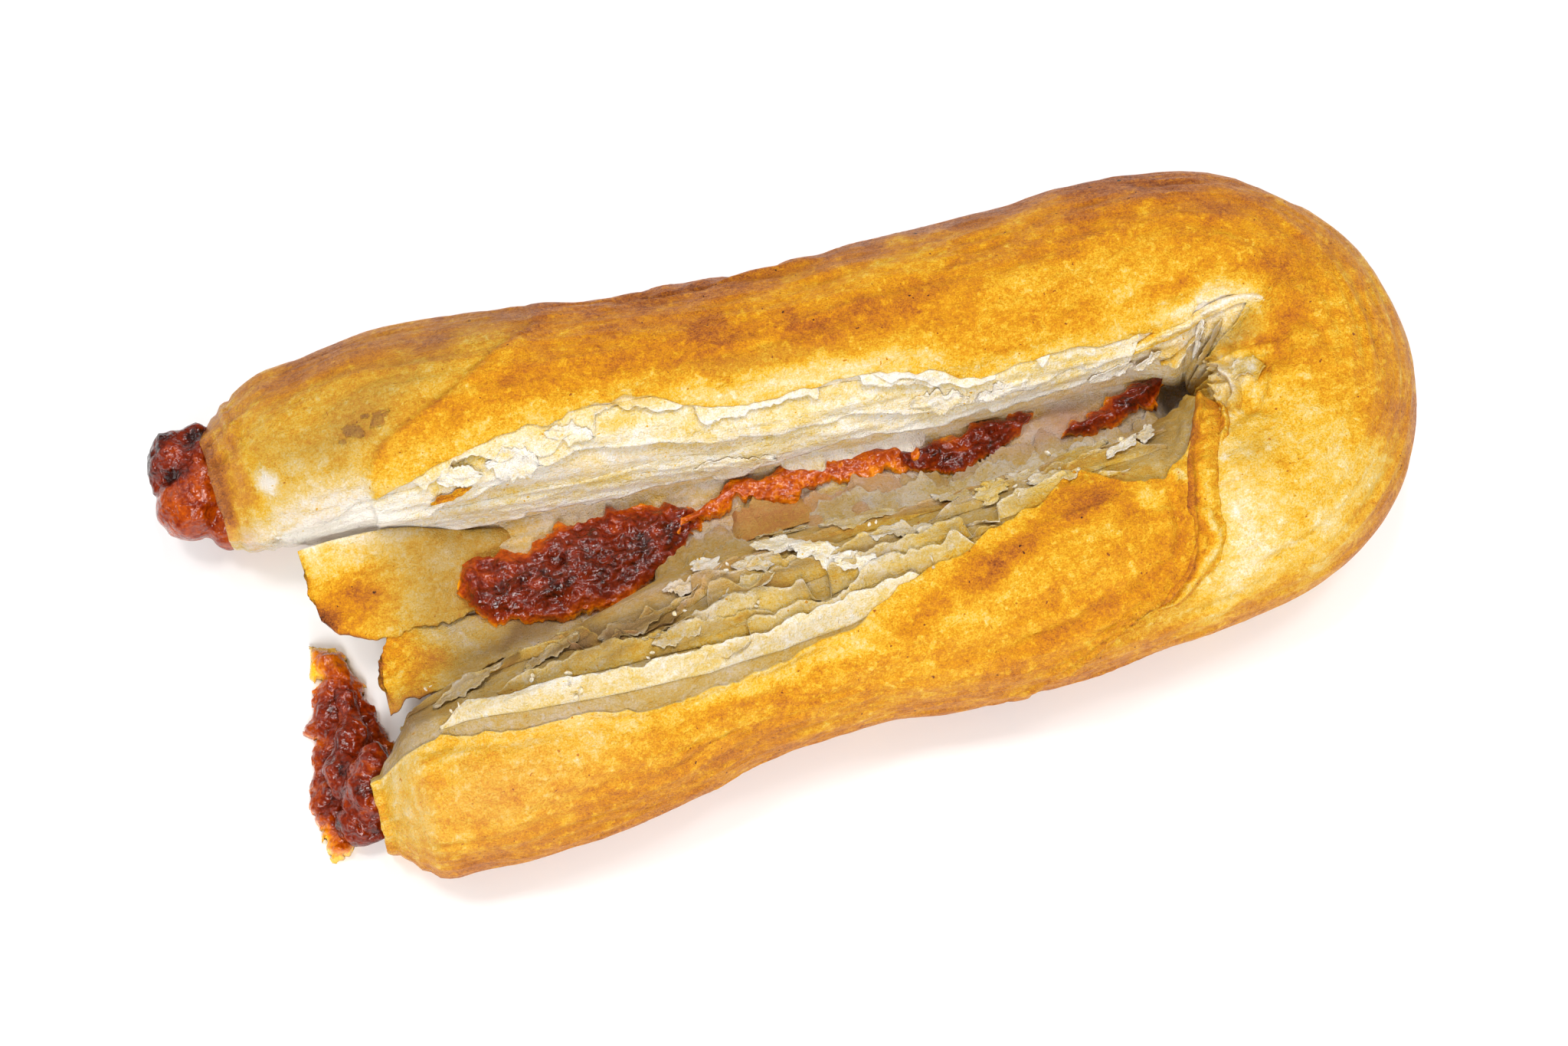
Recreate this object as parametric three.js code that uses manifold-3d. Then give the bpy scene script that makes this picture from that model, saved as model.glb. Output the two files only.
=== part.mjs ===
// A borek: a roll of filo pastry round a jam filling, bent into a hairpin and baked on a tray.
// Its inner flanks have burst along the valley between the legs, and jam has run out there and at both
// ends. Millimetres, +Z up. The origin is the middle of the overall box, on the tray. +X points to the bend
// and +Y to the long leg. The roll is followed from the long leg's open end, round the bend, to the short's.
import * as THREE from "three";
import { mergeVertices } from "three/addons/utils/BufferGeometryUtils.js";
import Module from "manifold-3d";

const { clamp, degToRad, lerp, radToDeg, smoothstep } = THREE.MathUtils;
const wasm = await Module();
wasm.setup();

// The roll's centre line on the tray, its half width, and sheetEnd: the angle over the roll, from its outer
// side, at which the browned outer sheet ends in a torn edge.
const longLeg = [
  { x: -88.5, y: 27.2, halfWidth: 13.5, sheetEnd: 152 },
  { x: -84, y: 27.3, halfWidth: 15.1, sheetEnd: 152 },
  { x: -76, y: 27.9, halfWidth: 16.7, sheetEnd: 148 },
  { x: -60, y: 27.5, halfWidth: 18.4, sheetEnd: 130 },
  { x: -44, y: 25.4, halfWidth: 18.8, sheetEnd: 116 },
  { x: -22, y: 22.3, halfWidth: 18.0, sheetEnd: 107 },
  { x: 0, y: 20.0, halfWidth: 17.8, sheetEnd: 120 },
  { x: 20, y: 19.1, halfWidth: 18.4, sheetEnd: 119 },
  { x: 41, y: 18.3, halfWidth: 18.4, sheetEnd: 127 },
];
const bend = {
  x: 61.3, y: -2.2, radius: 20.2, halfWidth: 18.4,
  sheetEnd: [132, 136, 142, 150, 150, 138, 118],
};
const shortLeg = [
  { x: 42, y: -24.0, halfWidth: 18.2, sheetEnd: 130 },
  { x: 22, y: -24.6, halfWidth: 18.1, sheetEnd: 105 },
  { x: 2, y: -22.4, halfWidth: 17.8, sheetEnd: 74 },
  { x: -20, y: -22.8, halfWidth: 18.2, sheetEnd: 64 },
  { x: -40, y: -26.6, halfWidth: 17.9, sheetEnd: 78 },
  { x: -58, y: -28.8, halfWidth: 16.7, sheetEnd: 97 },
  { x: -70, y: -29.4, halfWidth: 15, sheetEnd: 106 },
  { x: -77.5, y: -29, halfWidth: 11.2, sheetEnd: 110 },
];

// The baked roll is a little lower than wide, and its underside is flat where it lay on the tray.
const heightShare = 0.9;
const restShare = 0.93;
const tray = 0;

// Torn sheets on the inner flanks: how many, how thick, the angle at which the last one ends, and how
// uneven their edges are. Round the bend they are thinner, and fade into the legs over a stretch of the run.
const sheets = { count: 5, thickness: 0.55, foot: 176, bendShare: 0.3, fadeBefore: 8, fadeAfter: 12 };
const ragged = { share: 0.34, pitch: 0.42, sheetShift: 2.1, sheetTurn: 1.7 };

// The outer sheet's free end lies across the short leg as a rolled hem. Each pair is an angle over the roll
// and how far past the bend the hem lies there.
const hemLine = [
  [-30, 42], [12, 31], [28, 24], [39, 17], [50, 11], [60, 7.5],
  [80, 6.5], [103, 4], [125, -1], [150, -12], [200, -14],
];
const hem = {
  middle: 8, reach: 55, step: 1.4, fade: 26, roll: 1.1, rollWidth: 4, edgeHalf: 0.2, underShare: 0.4,
};
const hemAngles = { rollEnds: 110, rollFade: 30, underEnds: -10, proudFrom: 50 };

const pleats = { depth: 1.2, perTurn: 18, from: 112, to: 150, spread: 70 };
const bead = { rise: 0.9, groove: 0.8, offset: 15, width: 10, fromX: -72, fadeIn: 8, toX: 8, fadeOut: 14 };
const seam = { angle: 38, edge: 3, lip: 0.9, fromX: -22, toX: 14, fade: 5 };

// Soft swells all over the skin: their height, and their pitch along the run and over the angle.
const swells = [
  { height: 0.4, alongRun: 0.11, overAngle: 0.06 },
  { height: 0.2, alongRun: 0.3, overAngle: 0.05 },
];

// Steps of the wound sheets at the open ends: share of the roll's radius, and how far each ring stands out.
const endRings = [[0.97, 0.9], [0.89, 1.5], [0.86, 0.6], [0.76, 1.0], [0.73, -0.2], [0.6, 0]];
const endWobble = { height: 0.35, pitch: 0.05, ringShift: 2 };

// How finely the skin is meshed: points over a ring, with a close pair at each edge, and rings on the run.
const ringMesh = { outerPoints: 15, outerGap: 6, edgeHalf: 0.5, innerGap: 10, innerPoints: 5 };
const runMesh = { longLeg: 37, bend: 28, beforeHem: 4, shortLeg: 34 };

// The pastry between the legs, down to the tray: middle, half width and crest height along the valley.
const web = [
  { x: -66, y: -1.8, halfWidth: 15, crest: 11 },
  { x: -40, y: -1.2, halfWidth: 12, crest: 12.5 },
  { x: 0, y: -1.2, halfWidth: 9, crest: 13.5 },
  { x: 40, y: -3.2, halfWidth: 8, crest: 14.5 },
  { x: 66, y: -2.6, halfWidth: 5.5, crest: 15.3 },
];
const webShape = { footShare: 1.5, cuts: 30, across: 7, waves: { height: 0.7, alongX: 0.35, alongY: 0.5 } };

// Two torn flaps hang over the valley's open end. Each row is a cross cut at x through a flap's upper face,
// with its two edges: the one towards the long leg, then the one towards the short leg.
const flapShape = { thickness: 1.4, cuts: 14, across: 6, waves: { height: 0.45, alongX: 0.5, across: 5 } };
const longLegFlap = [
  { x: -79.5, y0: 13, z0: 17, y1: 2.4, z1: 15.5 },
  { x: -77, y0: 13, z0: 17.5, y1: -1.6, z1: 14.5 },
  { x: -72, y0: 12.5, z0: 18, y1: -4, z1: 14 },
  { x: -66, y0: 12, z0: 18.5, y1: -3.4, z1: 13 },
  { x: -58, y0: 11, z0: 19, y1: -2.5, z1: 13.5 },
  { x: -52, y0: 9.5, z0: 17, y1: 2.5, z1: 14.5 },
];
const shortLegFlap = [
  { x: -73, y0: -6.5, z0: 14.5, y1: -17, z1: 16 },
  { x: -71, y0: -3.8, z0: 13, y1: -16.5, z1: 16.5 },
  { x: -63, y0: -2, z0: 12.2, y1: -15.5, z1: 16 },
  { x: -54, y0: -4.5, z0: 12.8, y1: -13, z1: 15.5 },
  { x: -47, y0: -7, z0: 13, y1: -11.5, z1: 15 },
];

// Jam: the core that the sheets are wound round, the lumps at both open ends, and the seam of jam in the
// valley, which a neck joins to the core. Each row of the seam is a cross cut with its two edges.
const core = { radius: 5.6, sides: 8, steps: 44, standsOut: 2.5 };
const jamGap = 0.3;
const lumpShape = { around: 10, rings: 7, swell: 0.14, pitch: { x: 3, y: 4, z: 2 } };
const longEndLump = [
  { at: [-94.2, 35.1, 12], size: [5.8, 4.8, 5.6] },
  { at: [-94.4, 27.6, 10.4], size: [5.8, 5.6, 6.4] },
  { at: [-91, 31.4, 13.5], size: [5, 7, 5] },
];
const shortEndSpill = [
  { at: [-81.4, -26, 6], size: [6.4, 6.6, 4.4] },
  { at: [-82.6, -30.4, 4.4], size: [5.2, 3.6, 3.6] },
  { at: [-83.6, -20.5, 4.4], size: [5.4, 6.5, 3.8] },
  { at: [-83, -12.4, 3.6], size: [4.2, 6, 3] },
  { at: [-79.8, -11.5, 4], size: [5, 5, 3.2] },
  { at: [-81.2, -4, 3], size: [3.2, 4.4, 2.3] },
];
const valleyJam = [
  { x: -57, y0: 2, y1: -3, z: 12.4, thick: 1.6 },
  { x: -54, y0: 5, y1: -7, z: 12.4, thick: 2.6 },
  { x: -48, y0: 2.4, y1: -8.2, z: 12.6, thick: 3 },
  { x: -41, y0: 4.6, y1: -9.2, z: 12.8, thick: 3.2 },
  { x: -34, y0: 4.8, y1: -9.8, z: 13, thick: 3.2 },
  { x: -27, y0: 4, y1: -7.2, z: 13.2, thick: 3 },
  { x: -20, y0: 2.6, y1: -3, z: 13.4, thick: 2.4 },
  { x: -13, y0: 3.8, y1: 0.6, z: 14, thick: 2 },
  { x: -5, y0: 4, y1: 0, z: 14.2, thick: 2.2 },
  { x: 7, y0: 3, y1: -1, z: 14.4, thick: 2.2 },
  { x: 17, y0: 1.2, y1: -2.8, z: 14.6, thick: 2.2 },
  { x: 27, y0: 0, y1: -4.2, z: 14.8, thick: 2.2 },
  { x: 38, y0: -1, y1: -3, z: 14.6, thick: 1.5 },
  { x: 47, y0: 0, y1: -3.6, z: 14.8, thick: 2 },
  { x: 55, y0: 1, y1: -4, z: 15, thick: 2.4 },
  { x: 60.5, y0: 0, y1: -2, z: 15, thick: 1.2 },
];
const valleyJamShape = { cuts: 40, around: 8, swell: 0.12, pitch: 1.1 };
const neck = { x: -38, radius: 2.8, endY: 2, endZ: 11.5, steps: 2 };

// The roll's course

const bendRows = bend.sheetEnd.map((sheetEnd, i) => {
  const angle = degToRad(90 - (180 * i) / (bend.sheetEnd.length - 1));
  const x = bend.x + bend.radius * Math.cos(angle);
  return { x, y: bend.y + bend.radius * Math.sin(angle), halfWidth: bend.halfWidth, sheetEnd };
});
const rows = [...longLeg, ...bendRows, ...shortLeg];
const rowPoints = rows.map((row) => new THREE.Vector3(row.x, row.y, 0));
const course = new THREE.CatmullRomCurve3(rowPoints, false, "centripetal");
const samplesPerRow = 40;
course.arcLengthDivisions = (rows.length - 1) * samplesPerRow;
const lengths = course.getLengths();
const courseLength = lengths.at(-1);
const runAtRow = rows.map((_, i) => lengths[i * samplesPerRow]);
const courseSamples = 200;
const bendStart = runAtRow[longLeg.length];
const bendEnd = runAtRow[longLeg.length + bendRows.length - 1];
const bendMiddle = (bendStart + bendEnd) / 2;

// One column of the rows at a distance along the course, eased from row to row.
function rowValue(column, run) {
  let i = 0;
  while (i < rows.length - 2 && run > runAtRow[i + 1]) i++;
  return lerp(rows[i][column], rows[i + 1][column], smoothstep(run, runAtRow[i], runAtRow[i + 1]));
}

// The value at x on a line through [x, value] pairs.
function onLine(pairs, x) {
  let i = 0;
  while (i < pairs.length - 2 && x > pairs[i + 1][0]) i++;
  const [[x0, v0], [x1, v1]] = [pairs[i], pairs[i + 1]];
  return lerp(v0, v1, clamp((x - x0) / (x1 - x0), 0, 1));
}

const columnAt = (stations, column, x) => onLine(stations.map((row) => [row.x, row[column]]), x);

function placeAt(run) {
  const u = clamp(run / courseLength, 0, 1);
  const along = course.getTangentAt(u);
  return { centre: course.getPointAt(u), along, out: new THREE.Vector3(-along.y, along.x, 0) };
}

// The middle of the roll's section, at its own height above the tray.
function middleAt(run) {
  return placeAt(run).centre.setZ(rowValue("halfWidth", run) * heightShare * restShare);
}

const spaced = (from, to, count) => Array.from({ length: count }, (_, i) => lerp(from, to, i / (count - 1)));
const hump = (x, middle, width) => Math.exp(-(((x - middle) / width) ** 2));

// A wave from -1 to 1 that doesn't seem to repeat: two finer waves are added to a plain one of height 1.
const overtones = [{ height: 0.6, pitch: 2.3, turn: 1 }, { height: 0.4, pitch: 4.1, turn: -2 }];
const fullHeight = 2;

function waves(a, b) {
  const add = (sum, tone) => sum + tone.height * Math.sin(tone.pitch * a + tone.turn * b);
  return overtones.reduce(add, Math.sin(a)) / fullHeight;
}

// Closed solids
const weld = 1e-3;

function solid(geometry) {
  geometry.deleteAttribute("normal");
  geometry.deleteAttribute("uv");
  const merged = mergeVertices(geometry, weld);
  const vertProperties = merged.attributes.position.array;
  const triVerts = new Uint32Array(merged.index.array);
  return new wasm.Manifold(new wasm.Mesh({ numProp: 3, vertProperties, triVerts }));
}

// Skins rings of equal counts, which turn from left to up as seen along the loft, and closes both ends.
function loft(rings) {
  const count = rings[0].length;
  const middle = (ring) => ring.reduce((sum, p) => sum.add(p), new THREE.Vector3()).divideScalar(count);
  const points = [...rings.flat(), middle(rings[0]), middle(rings.at(-1))];
  const [firstMiddle, lastMiddle] = [points.length - 2, points.length - 1];
  const lastRing = (rings.length - 1) * count;
  const faces = [];
  for (let j = 0; j < count; j++) {
    const next = (j + 1) % count;
    for (let start = 0; start < lastRing; start += count) {
      const [a, b, c, d] = [start + j, start + next, start + count + j, start + count + next];
      faces.push(a, b, c, b, d, c);
    }
    faces.push(next, j, firstMiddle, lastRing + j, lastRing + next, lastMiddle);
  }
  return solid(new THREE.BufferGeometry().setFromPoints(points).setIndex(faces));
}

// A round bar along the points.
function rope(points, radius, sides, steps) {
  const onCircle = (a) => new THREE.Vector2(radius * Math.cos(a), radius * Math.sin(a));
  const section = new THREE.Shape(spaced(0, 2 * Math.PI, sides + 1).slice(1).map(onCircle));
  const extrudePath = new THREE.CatmullRomCurve3(points);
  return solid(new THREE.ExtrudeGeometry(section, { steps, extrudePath, bevelEnabled: false }));
}

// An uneven lump, cut off flat at the tray.
function lump({ at, size }, grow) {
  const { around, rings, swell, pitch } = lumpShape;
  const geometry = new THREE.SphereGeometry(1, around, rings);
  const position = geometry.attributes.position;
  const p = new THREE.Vector3();
  for (let i = 0; i < position.count; i++) {
    p.fromBufferAttribute(position, i);
    const swollen = 1 + swell * waves(pitch.x * p.x + at[0], pitch.y * p.y + pitch.z * p.z);
    p.set(...size.map((half, axis) => at[axis] + (half + grow) * swollen * p.getComponent(axis)));
    position.setXYZ(i, p.x, p.y, Math.max(p.z, tray));
  }
  return solid(geometry);
}

const joined = (solids) => solids.reduce((whole, piece) => whole.add(piece));
const largest = (whole) => whole.decompose().sort((a, b) => b.volume() - a.volume())[0];

// Relief of the pastry's skin

// The angles of the torn edges on the inner flank, from the outer sheet's down to the foot.
function tornEdges(run) {
  const first = rowValue("sheetEnd", run);
  const pitch = (sheets.foot - first) / sheets.count;
  const { share, sheetShift, sheetTurn } = ragged;
  const shift = (i) => share * waves(ragged.pitch * run + sheetShift * i, sheetTurn * i);
  return Array.from({ length: sheets.count }, (_, i) => first + pitch * (i + shift(i)));
}

// Each torn sheet that has ended lowers the flank, less so round the bend.
function tornLift(run, angle, edges) {
  const halfBend = (bendEnd - bendStart) / 2;
  const fromBend = Math.abs(run - bendMiddle);
  const onLeg = smoothstep(fromBend, halfBend - sheets.fadeBefore, halfBend + sheets.fadeAfter);
  const ended = edges.filter((edge) => angle > edge).length;
  return -ended * sheets.thickness * lerp(sheets.bendShare, 1, onLeg);
}

// A lip where the outer sheet has lifted along the long leg's outer side.
function seamLift(x, angle) {
  const { fromX, toX, fade, edge } = seam;
  const inSeam = smoothstep(x, fromX, fromX + fade) * smoothstep(toX - x, 0, fade);
  return seam.lip * inSeam * smoothstep(angle, 0, seam.angle) * smoothstep(seam.angle - angle, 0, edge);
}

// A soft bead below a shallow groove, along the short leg's outer sheet.
function beadLift(x, angle, sheetEnd) {
  const started = smoothstep(x, bead.fromX, bead.fromX + bead.fadeIn);
  const inBead = started * smoothstep(bead.toX - x, 0, bead.fadeOut);
  const rise = bead.rise * hump(angle, sheetEnd + bead.offset, bead.width);
  return inBead * (rise - bead.groove * hump(angle, sheetEnd - bead.width / 2, bead.width / 2));
}

// The outer sheet stands proud of the short leg up to its hem, whose edge is rolled.
function hemLift(intoLeg, angle) {
  if (intoLeg < 0) return 0;
  const { rollEnds, rollFade, underEnds, proudFrom } = hemAngles;
  const rolledEdge = smoothstep(hem.rollWidth - intoLeg, 0, 1) * smoothstep(rollEnds - angle, 0, rollFade);
  const proud = hem.step * Math.exp(-intoLeg / hem.fade) + hem.roll * rolledEdge;
  return proud * lerp(hem.underShare, 1, smoothstep(angle, underEnds, proudFrom));
}

// The sheets are gathered into pleats on the bend's inner side.
function pleatLift(run, angle) {
  const turned = (run - bendMiddle) / bend.radius;
  const gathered = smoothstep(angle, pleats.from, pleats.to) * hump(turned, 0, degToRad(pleats.spread));
  return pleats.depth * gathered * Math.cos(pleats.perTurn * turned);
}

function swellLift(run, angle) {
  const [long, cross] = swells;
  const first = long.height * waves(long.alongRun * run, long.overAngle * angle);
  return first + cross.height * waves(cross.overAngle * angle, cross.alongRun * run);
}

function relief(ringRun, run, angle, edges) {
  const { x } = placeAt(run).centre;
  let lift = swellLift(run, angle);
  lift += tornLift(run, angle, edges) + pleatLift(run, angle);
  lift += run < bendMiddle ? seamLift(x, angle) : beadLift(x, angle, edges[0]);
  lift += hemLift(ringRun - bendEnd - hem.middle, angle);
  return lift * smoothstep(Math.sin(degToRad(angle)), -restShare, -restShare / 2);
}

// Pastry

// A point of the roll's skin. The angle runs from the outer side over the top to the inner side.
function skinPoint(run, angle, lift, share, standsOut) {
  const { centre, along, out } = placeAt(run);
  const halfWidth = rowValue("halfWidth", run);
  const halfHeight = halfWidth * heightShare;
  const [cos, sin] = [Math.cos(degToRad(angle)), Math.sin(degToRad(angle))];
  return centre
    .addScaledVector(out, share * (halfWidth + lift) * cos)
    .addScaledVector(along, standsOut)
    .setZ(Math.max(tray, halfHeight * restShare + share * (halfHeight + lift) * sin));
}

// The angles of a ring's points: a close pair at each torn edge, and even steps elsewhere.
function ringAngles(edges) {
  const { outerPoints, outerGap, edgeHalf, innerGap, innerPoints } = ringMesh;
  const rest = radToDeg(Math.asin(restShare));
  const outerSide = spaced(-rest, edges[0] - outerGap, outerPoints);
  const flank = edges.flatMap((edge) => [edge - edgeHalf, edge + edgeHalf]);
  return [...outerSide, ...flank, ...spaced(edges.at(-1) + innerGap, 180 + rest, innerPoints)];
}

// Distances along the course for the rings: even on the legs, closer round the bend and at the hem's edge.
function ringRuns() {
  const hemRun = bendEnd + hem.middle;
  return [
    ...spaced(0, bendStart, runMesh.longLeg),
    ...spaced(bendStart, bendEnd, runMesh.bend).slice(1, -1),
    ...spaced(bendEnd, hemRun - hem.edgeHalf, runMesh.beforeHem),
    hemRun + hem.edgeHalf,
    ...spaced(hemRun + hem.rollWidth, courseLength, runMesh.shortLeg),
  ];
}

// A ring's own distance, moved so that the rings near the hem lie along it.
function slanted(ringRun, angle) {
  const near = Math.max(0, 1 - Math.abs(ringRun - bendEnd - hem.middle) / hem.reach);
  return clamp(ringRun + near * (onLine(hemLine, angle) - hem.middle), 0, courseLength);
}

function skinRing(ringRun) {
  const edges = tornEdges(ringRun);
  return ringAngles(edges).map((angle) => {
    const run = slanted(ringRun, angle);
    return skinPoint(run, angle, relief(ringRun, run, angle, edges), 1, 0);
  });
}

// A ring of the open end at the given run, where direction points out of the roll.
function endRing([share, standsOut], run, direction, index) {
  const edges = tornEdges(run);
  return ringAngles(edges).map((angle) => {
    const wobble = endWobble.height * waves(endWobble.pitch * angle, endWobble.ringShift * index);
    return skinPoint(run, angle, relief(run, run, angle, edges), share, direction * (standsOut + wobble));
  });
}

function roll() {
  const longEnd = endRings.map((ring, i) => endRing(ring, 0, -1, i)).reverse();
  const shortEnd = endRings.map((ring, i) => endRing(ring, courseLength, 1, i));
  return loft([...longEnd, ...ringRuns().map(skinRing), ...shortEnd]);
}

// A sheet lofted from its upper face's cross lines, with the underside that each point is given.
function sheet(crossLines, undersideOf) {
  return loft(crossLines.map((top) => [...top, ...top.map(undersideOf).reverse()]));
}

function legWeb() {
  const { footShare, cuts, across, waves: crestWaves } = webShape;
  const crossLines = spaced(web[0].x, web.at(-1).x, cuts).map((x) => {
    const middle = columnAt(web, "y", x);
    const half = columnAt(web, "halfWidth", x);
    const crest = columnAt(web, "crest", x);
    return spaced(middle + half, middle - half, across).map((y) => {
      const wave = crestWaves.height * waves(crestWaves.alongX * x + crestWaves.alongY * y, y);
      return new THREE.Vector3(x, y, crest + wave);
    });
  });
  const foot = (p) => new THREE.Vector3(p.x, p.y + (footShare - 1) * (p.y - columnAt(web, "y", p.x)), tray);
  return sheet(crossLines, foot);
}

function flap(stations) {
  const { thickness, cuts, across, waves: ripples } = flapShape;
  const crossLines = spaced(stations[0].x, stations.at(-1).x, cuts).map((x) => {
    const [y0, z0, y1, z1] = ["y0", "z0", "y1", "z1"].map((column) => columnAt(stations, column, x));
    return spaced(0, 1, across).map((share) => {
      const ripple = ripples.height * waves(ripples.alongX * x + ripples.across * share, x);
      return new THREE.Vector3(x, lerp(y0, y1, share), lerp(z0, z1, share) + ripple);
    });
  });
  return sheet(crossLines, (p) => p.clone().setZ(p.z - thickness));
}

// Jam

function jamCore(grow) {
  const points = spaced(0, courseLength, core.steps).map(middleAt);
  const first = points[0].clone().addScaledVector(placeAt(0).along, -core.standsOut);
  const last = points.at(-1).clone().addScaledVector(placeAt(courseLength).along, core.standsOut);
  return rope([first, ...points, last], core.radius + grow, core.sides, core.steps);
}

// The seam of jam along the valley, as a loft of ellipses.
function jamSeam(grow) {
  const { cuts, around, swell, pitch } = valleyJamShape;
  const [first, last] = [valleyJam[0].x, valleyJam.at(-1).x];
  const rings = spaced(first, last, cuts).map((x) => {
    const [y0, y1, z, thick] = ["y0", "y1", "z", "thick"].map((column) => columnAt(valleyJam, column, x));
    const endShift = grow * ((2 * (x - first)) / (last - first) - 1);
    return spaced(0, 2 * Math.PI, around + 1).slice(1).map((a) => {
      const swollen = 1 + swell * waves(pitch * x, 2 * a);
      const y = (y0 + y1) / 2 + ((y0 - y1) / 2) * swollen * Math.cos(a) + grow * Math.cos(a);
      return new THREE.Vector3(x + endShift, y, z + (thick * swollen + grow) * Math.sin(a));
    });
  });
  return loft(rings);
}

// Where jam burst from the long leg's core into the valley.
function jamNeck(grow) {
  const run = spaced(0, bendStart, courseSamples).find((r) => placeAt(r).centre.x >= neck.x);
  const start = middleAt(run);
  const end = new THREE.Vector3(start.x, neck.endY, neck.endZ);
  return rope([start, end], neck.radius + grow, core.sides, neck.steps);
}

function jam(grow) {
  const lumps = [...longEndLump, ...shortEndSpill].map((row) => lump(row, grow));
  return joined([jamCore(grow), jamNeck(grow), jamSeam(grow), ...lumps]);
}

// The part

function named(name, whole, material) {
  const { vertProperties, triVerts } = whole.getMesh();
  const geometry = new THREE.BufferGeometry();
  geometry.setAttribute("position", new THREE.BufferAttribute(vertProperties, 3));
  geometry.setIndex(new THREE.BufferAttribute(triVerts, 1));
  geometry.computeVertexNormals();
  const mesh = new THREE.Mesh(geometry, new THREE.MeshStandardMaterial(material));
  mesh.name = name;
  return mesh;
}

const dough = joined([roll(), legWeb(), flap(longLegFlap), flap(shortLegFlap)]);
const pastry = largest(dough.subtract(jam(jamGap)));
const filling = largest(jam(0));

const borek = new THREE.Group();
borek.add(
  named("pastry", pastry, { color: 0xe2ad55, roughness: 0.7, metalness: 0, flatShading: true }),
  named("filling", filling, { color: 0x7c2f12, roughness: 0.25, metalness: 0, flatShading: true }),
);

export default borek;
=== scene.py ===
# A borek: filo pastry rolled round jam, bent into a hairpin, baked on a tray and burst open along its inside.
# Sizes of the pieces and of the camera are in millimetres, and mm turns them into metres. Those of the lamps,
# the floor and the materials are in metres. +X is towards the bend and +Y is the long leg. A place on the
# roll is a run along its centre line and an angle over it, from its outer side.
import math

import bmesh
import bpy
import numpy as np
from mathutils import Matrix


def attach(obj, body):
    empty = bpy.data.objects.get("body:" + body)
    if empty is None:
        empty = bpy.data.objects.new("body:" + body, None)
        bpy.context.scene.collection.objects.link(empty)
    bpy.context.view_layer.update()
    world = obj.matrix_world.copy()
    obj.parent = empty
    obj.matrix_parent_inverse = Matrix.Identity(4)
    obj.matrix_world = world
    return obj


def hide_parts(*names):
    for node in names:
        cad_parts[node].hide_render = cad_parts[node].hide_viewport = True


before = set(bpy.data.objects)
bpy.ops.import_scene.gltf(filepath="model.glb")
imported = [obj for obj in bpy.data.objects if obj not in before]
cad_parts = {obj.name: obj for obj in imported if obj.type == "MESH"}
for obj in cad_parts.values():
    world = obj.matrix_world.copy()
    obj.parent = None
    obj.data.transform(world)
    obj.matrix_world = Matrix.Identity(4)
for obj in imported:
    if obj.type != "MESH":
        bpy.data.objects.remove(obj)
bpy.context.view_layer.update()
mm = 0.001


# Numbers that every piece shares

def ease(x, low, high):
    share = np.clip((x - low) / (high - low), 0, 1)
    return share * share * (3 - 2 * share)


def hump(x, middle, width):
    return np.exp(-((x - middle) / width) ** 2)


def between(x, start, full, fullEnd, end):  # rises from start to full and falls from fullEnd to end
    return ease(x, start, full) * ease(-x, -end, -fullEnd)


hashing = {"steps": (73856093, 19349663, 83492791), "mix": 1274126177, "mask": 0xFFFF}


def cellValue(x, y, z, seed):  # a fixed random number from -1 to 1 for each cell of space
    a, b, c = hashing["steps"]
    mixed = (x * a) ^ (y * b) ^ (z * c) ^ (seed * hashing["mix"])
    mixed = (mixed ^ (mixed >> 13)) * hashing["mix"]
    return ((mixed ^ (mixed >> 16)) & hashing["mask"]) / (hashing["mask"] / 2) - 1


def noise(x, y, z=0.0, seed=0):  # smooth noise from -1 to 1, with features one unit wide
    x, y, z = np.broadcast_arrays(x, y, z)
    cells = [np.floor(v).astype(np.int64) for v in (x, y, z)]
    shares = [ease(v - c, 0, 1) for v, c in zip((x, y, z), cells)]
    total = np.zeros(x.shape)
    for corner in range(8):
        steps = [(corner >> axis) & 1 for axis in range(3)]
        weight = np.ones(x.shape)
        for share, step in zip(shares, steps):
            weight = weight * (share if step else 1 - share)
        total += weight * cellValue(*(c + s for c, s in zip(cells, steps)), seed)
    return total


def roughNoise(x, y, z=0.0, seed=0, layers=3):  # each layer is half as wide and half as high as the last
    total = 0
    for layer in range(layers):
        scale = 2 ** layer
        total = total + noise(x * scale, y * scale, z * scale, seed + layer) / scale
    return total


def wave(row, x, y=0.5, seed=0, layers=1):  # noise from a row of height, width along x, width along y, seed
    height, wide, high, rowSeed = row
    return height * roughNoise(x / wide, y / high, seed=seed + rowSeed, layers=layers)


# The camera, and places read off the photograph: they lie on a level plane, as the camera sees it

camera = {
    "azimuth": -17, "elevation": 70, "distance": 700, "aim": (-5, -4.3, 15), "lens": 101.3, "sensor": 36,
}
photoPlane = {"height": 19, "shiftY": 0.8}


def leanOf(azimuth, elevation):  # how far a point moves on the plane, as seen, for each mm it rises
    flat = 1 / math.tan(math.radians(elevation))
    return -flat * math.sin(math.radians(azimuth)), flat * math.cos(math.radians(azimuth))


lean = leanOf(camera["azimuth"], camera["elevation"])


def asSeen(points):
    rise = points[..., 2] - photoPlane["height"]
    return points[..., 0] + rise * lean[0], points[..., 1] + rise * lean[1] + photoPlane["shiftY"]


def atHeight(seen, z):  # the true place of a point at height z that is seen at these places
    seen = np.asarray(seen, float)
    rise = np.asarray(z, float) - photoPlane["height"]
    return np.stack([
        seen[..., 0] - rise * lean[0],
        seen[..., 1] - rise * lean[1] - photoPlane["shiftY"],
        np.broadcast_to(z, seen[..., 0].shape),
    ], -1)


# The roll's course, the same as the solid's

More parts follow.
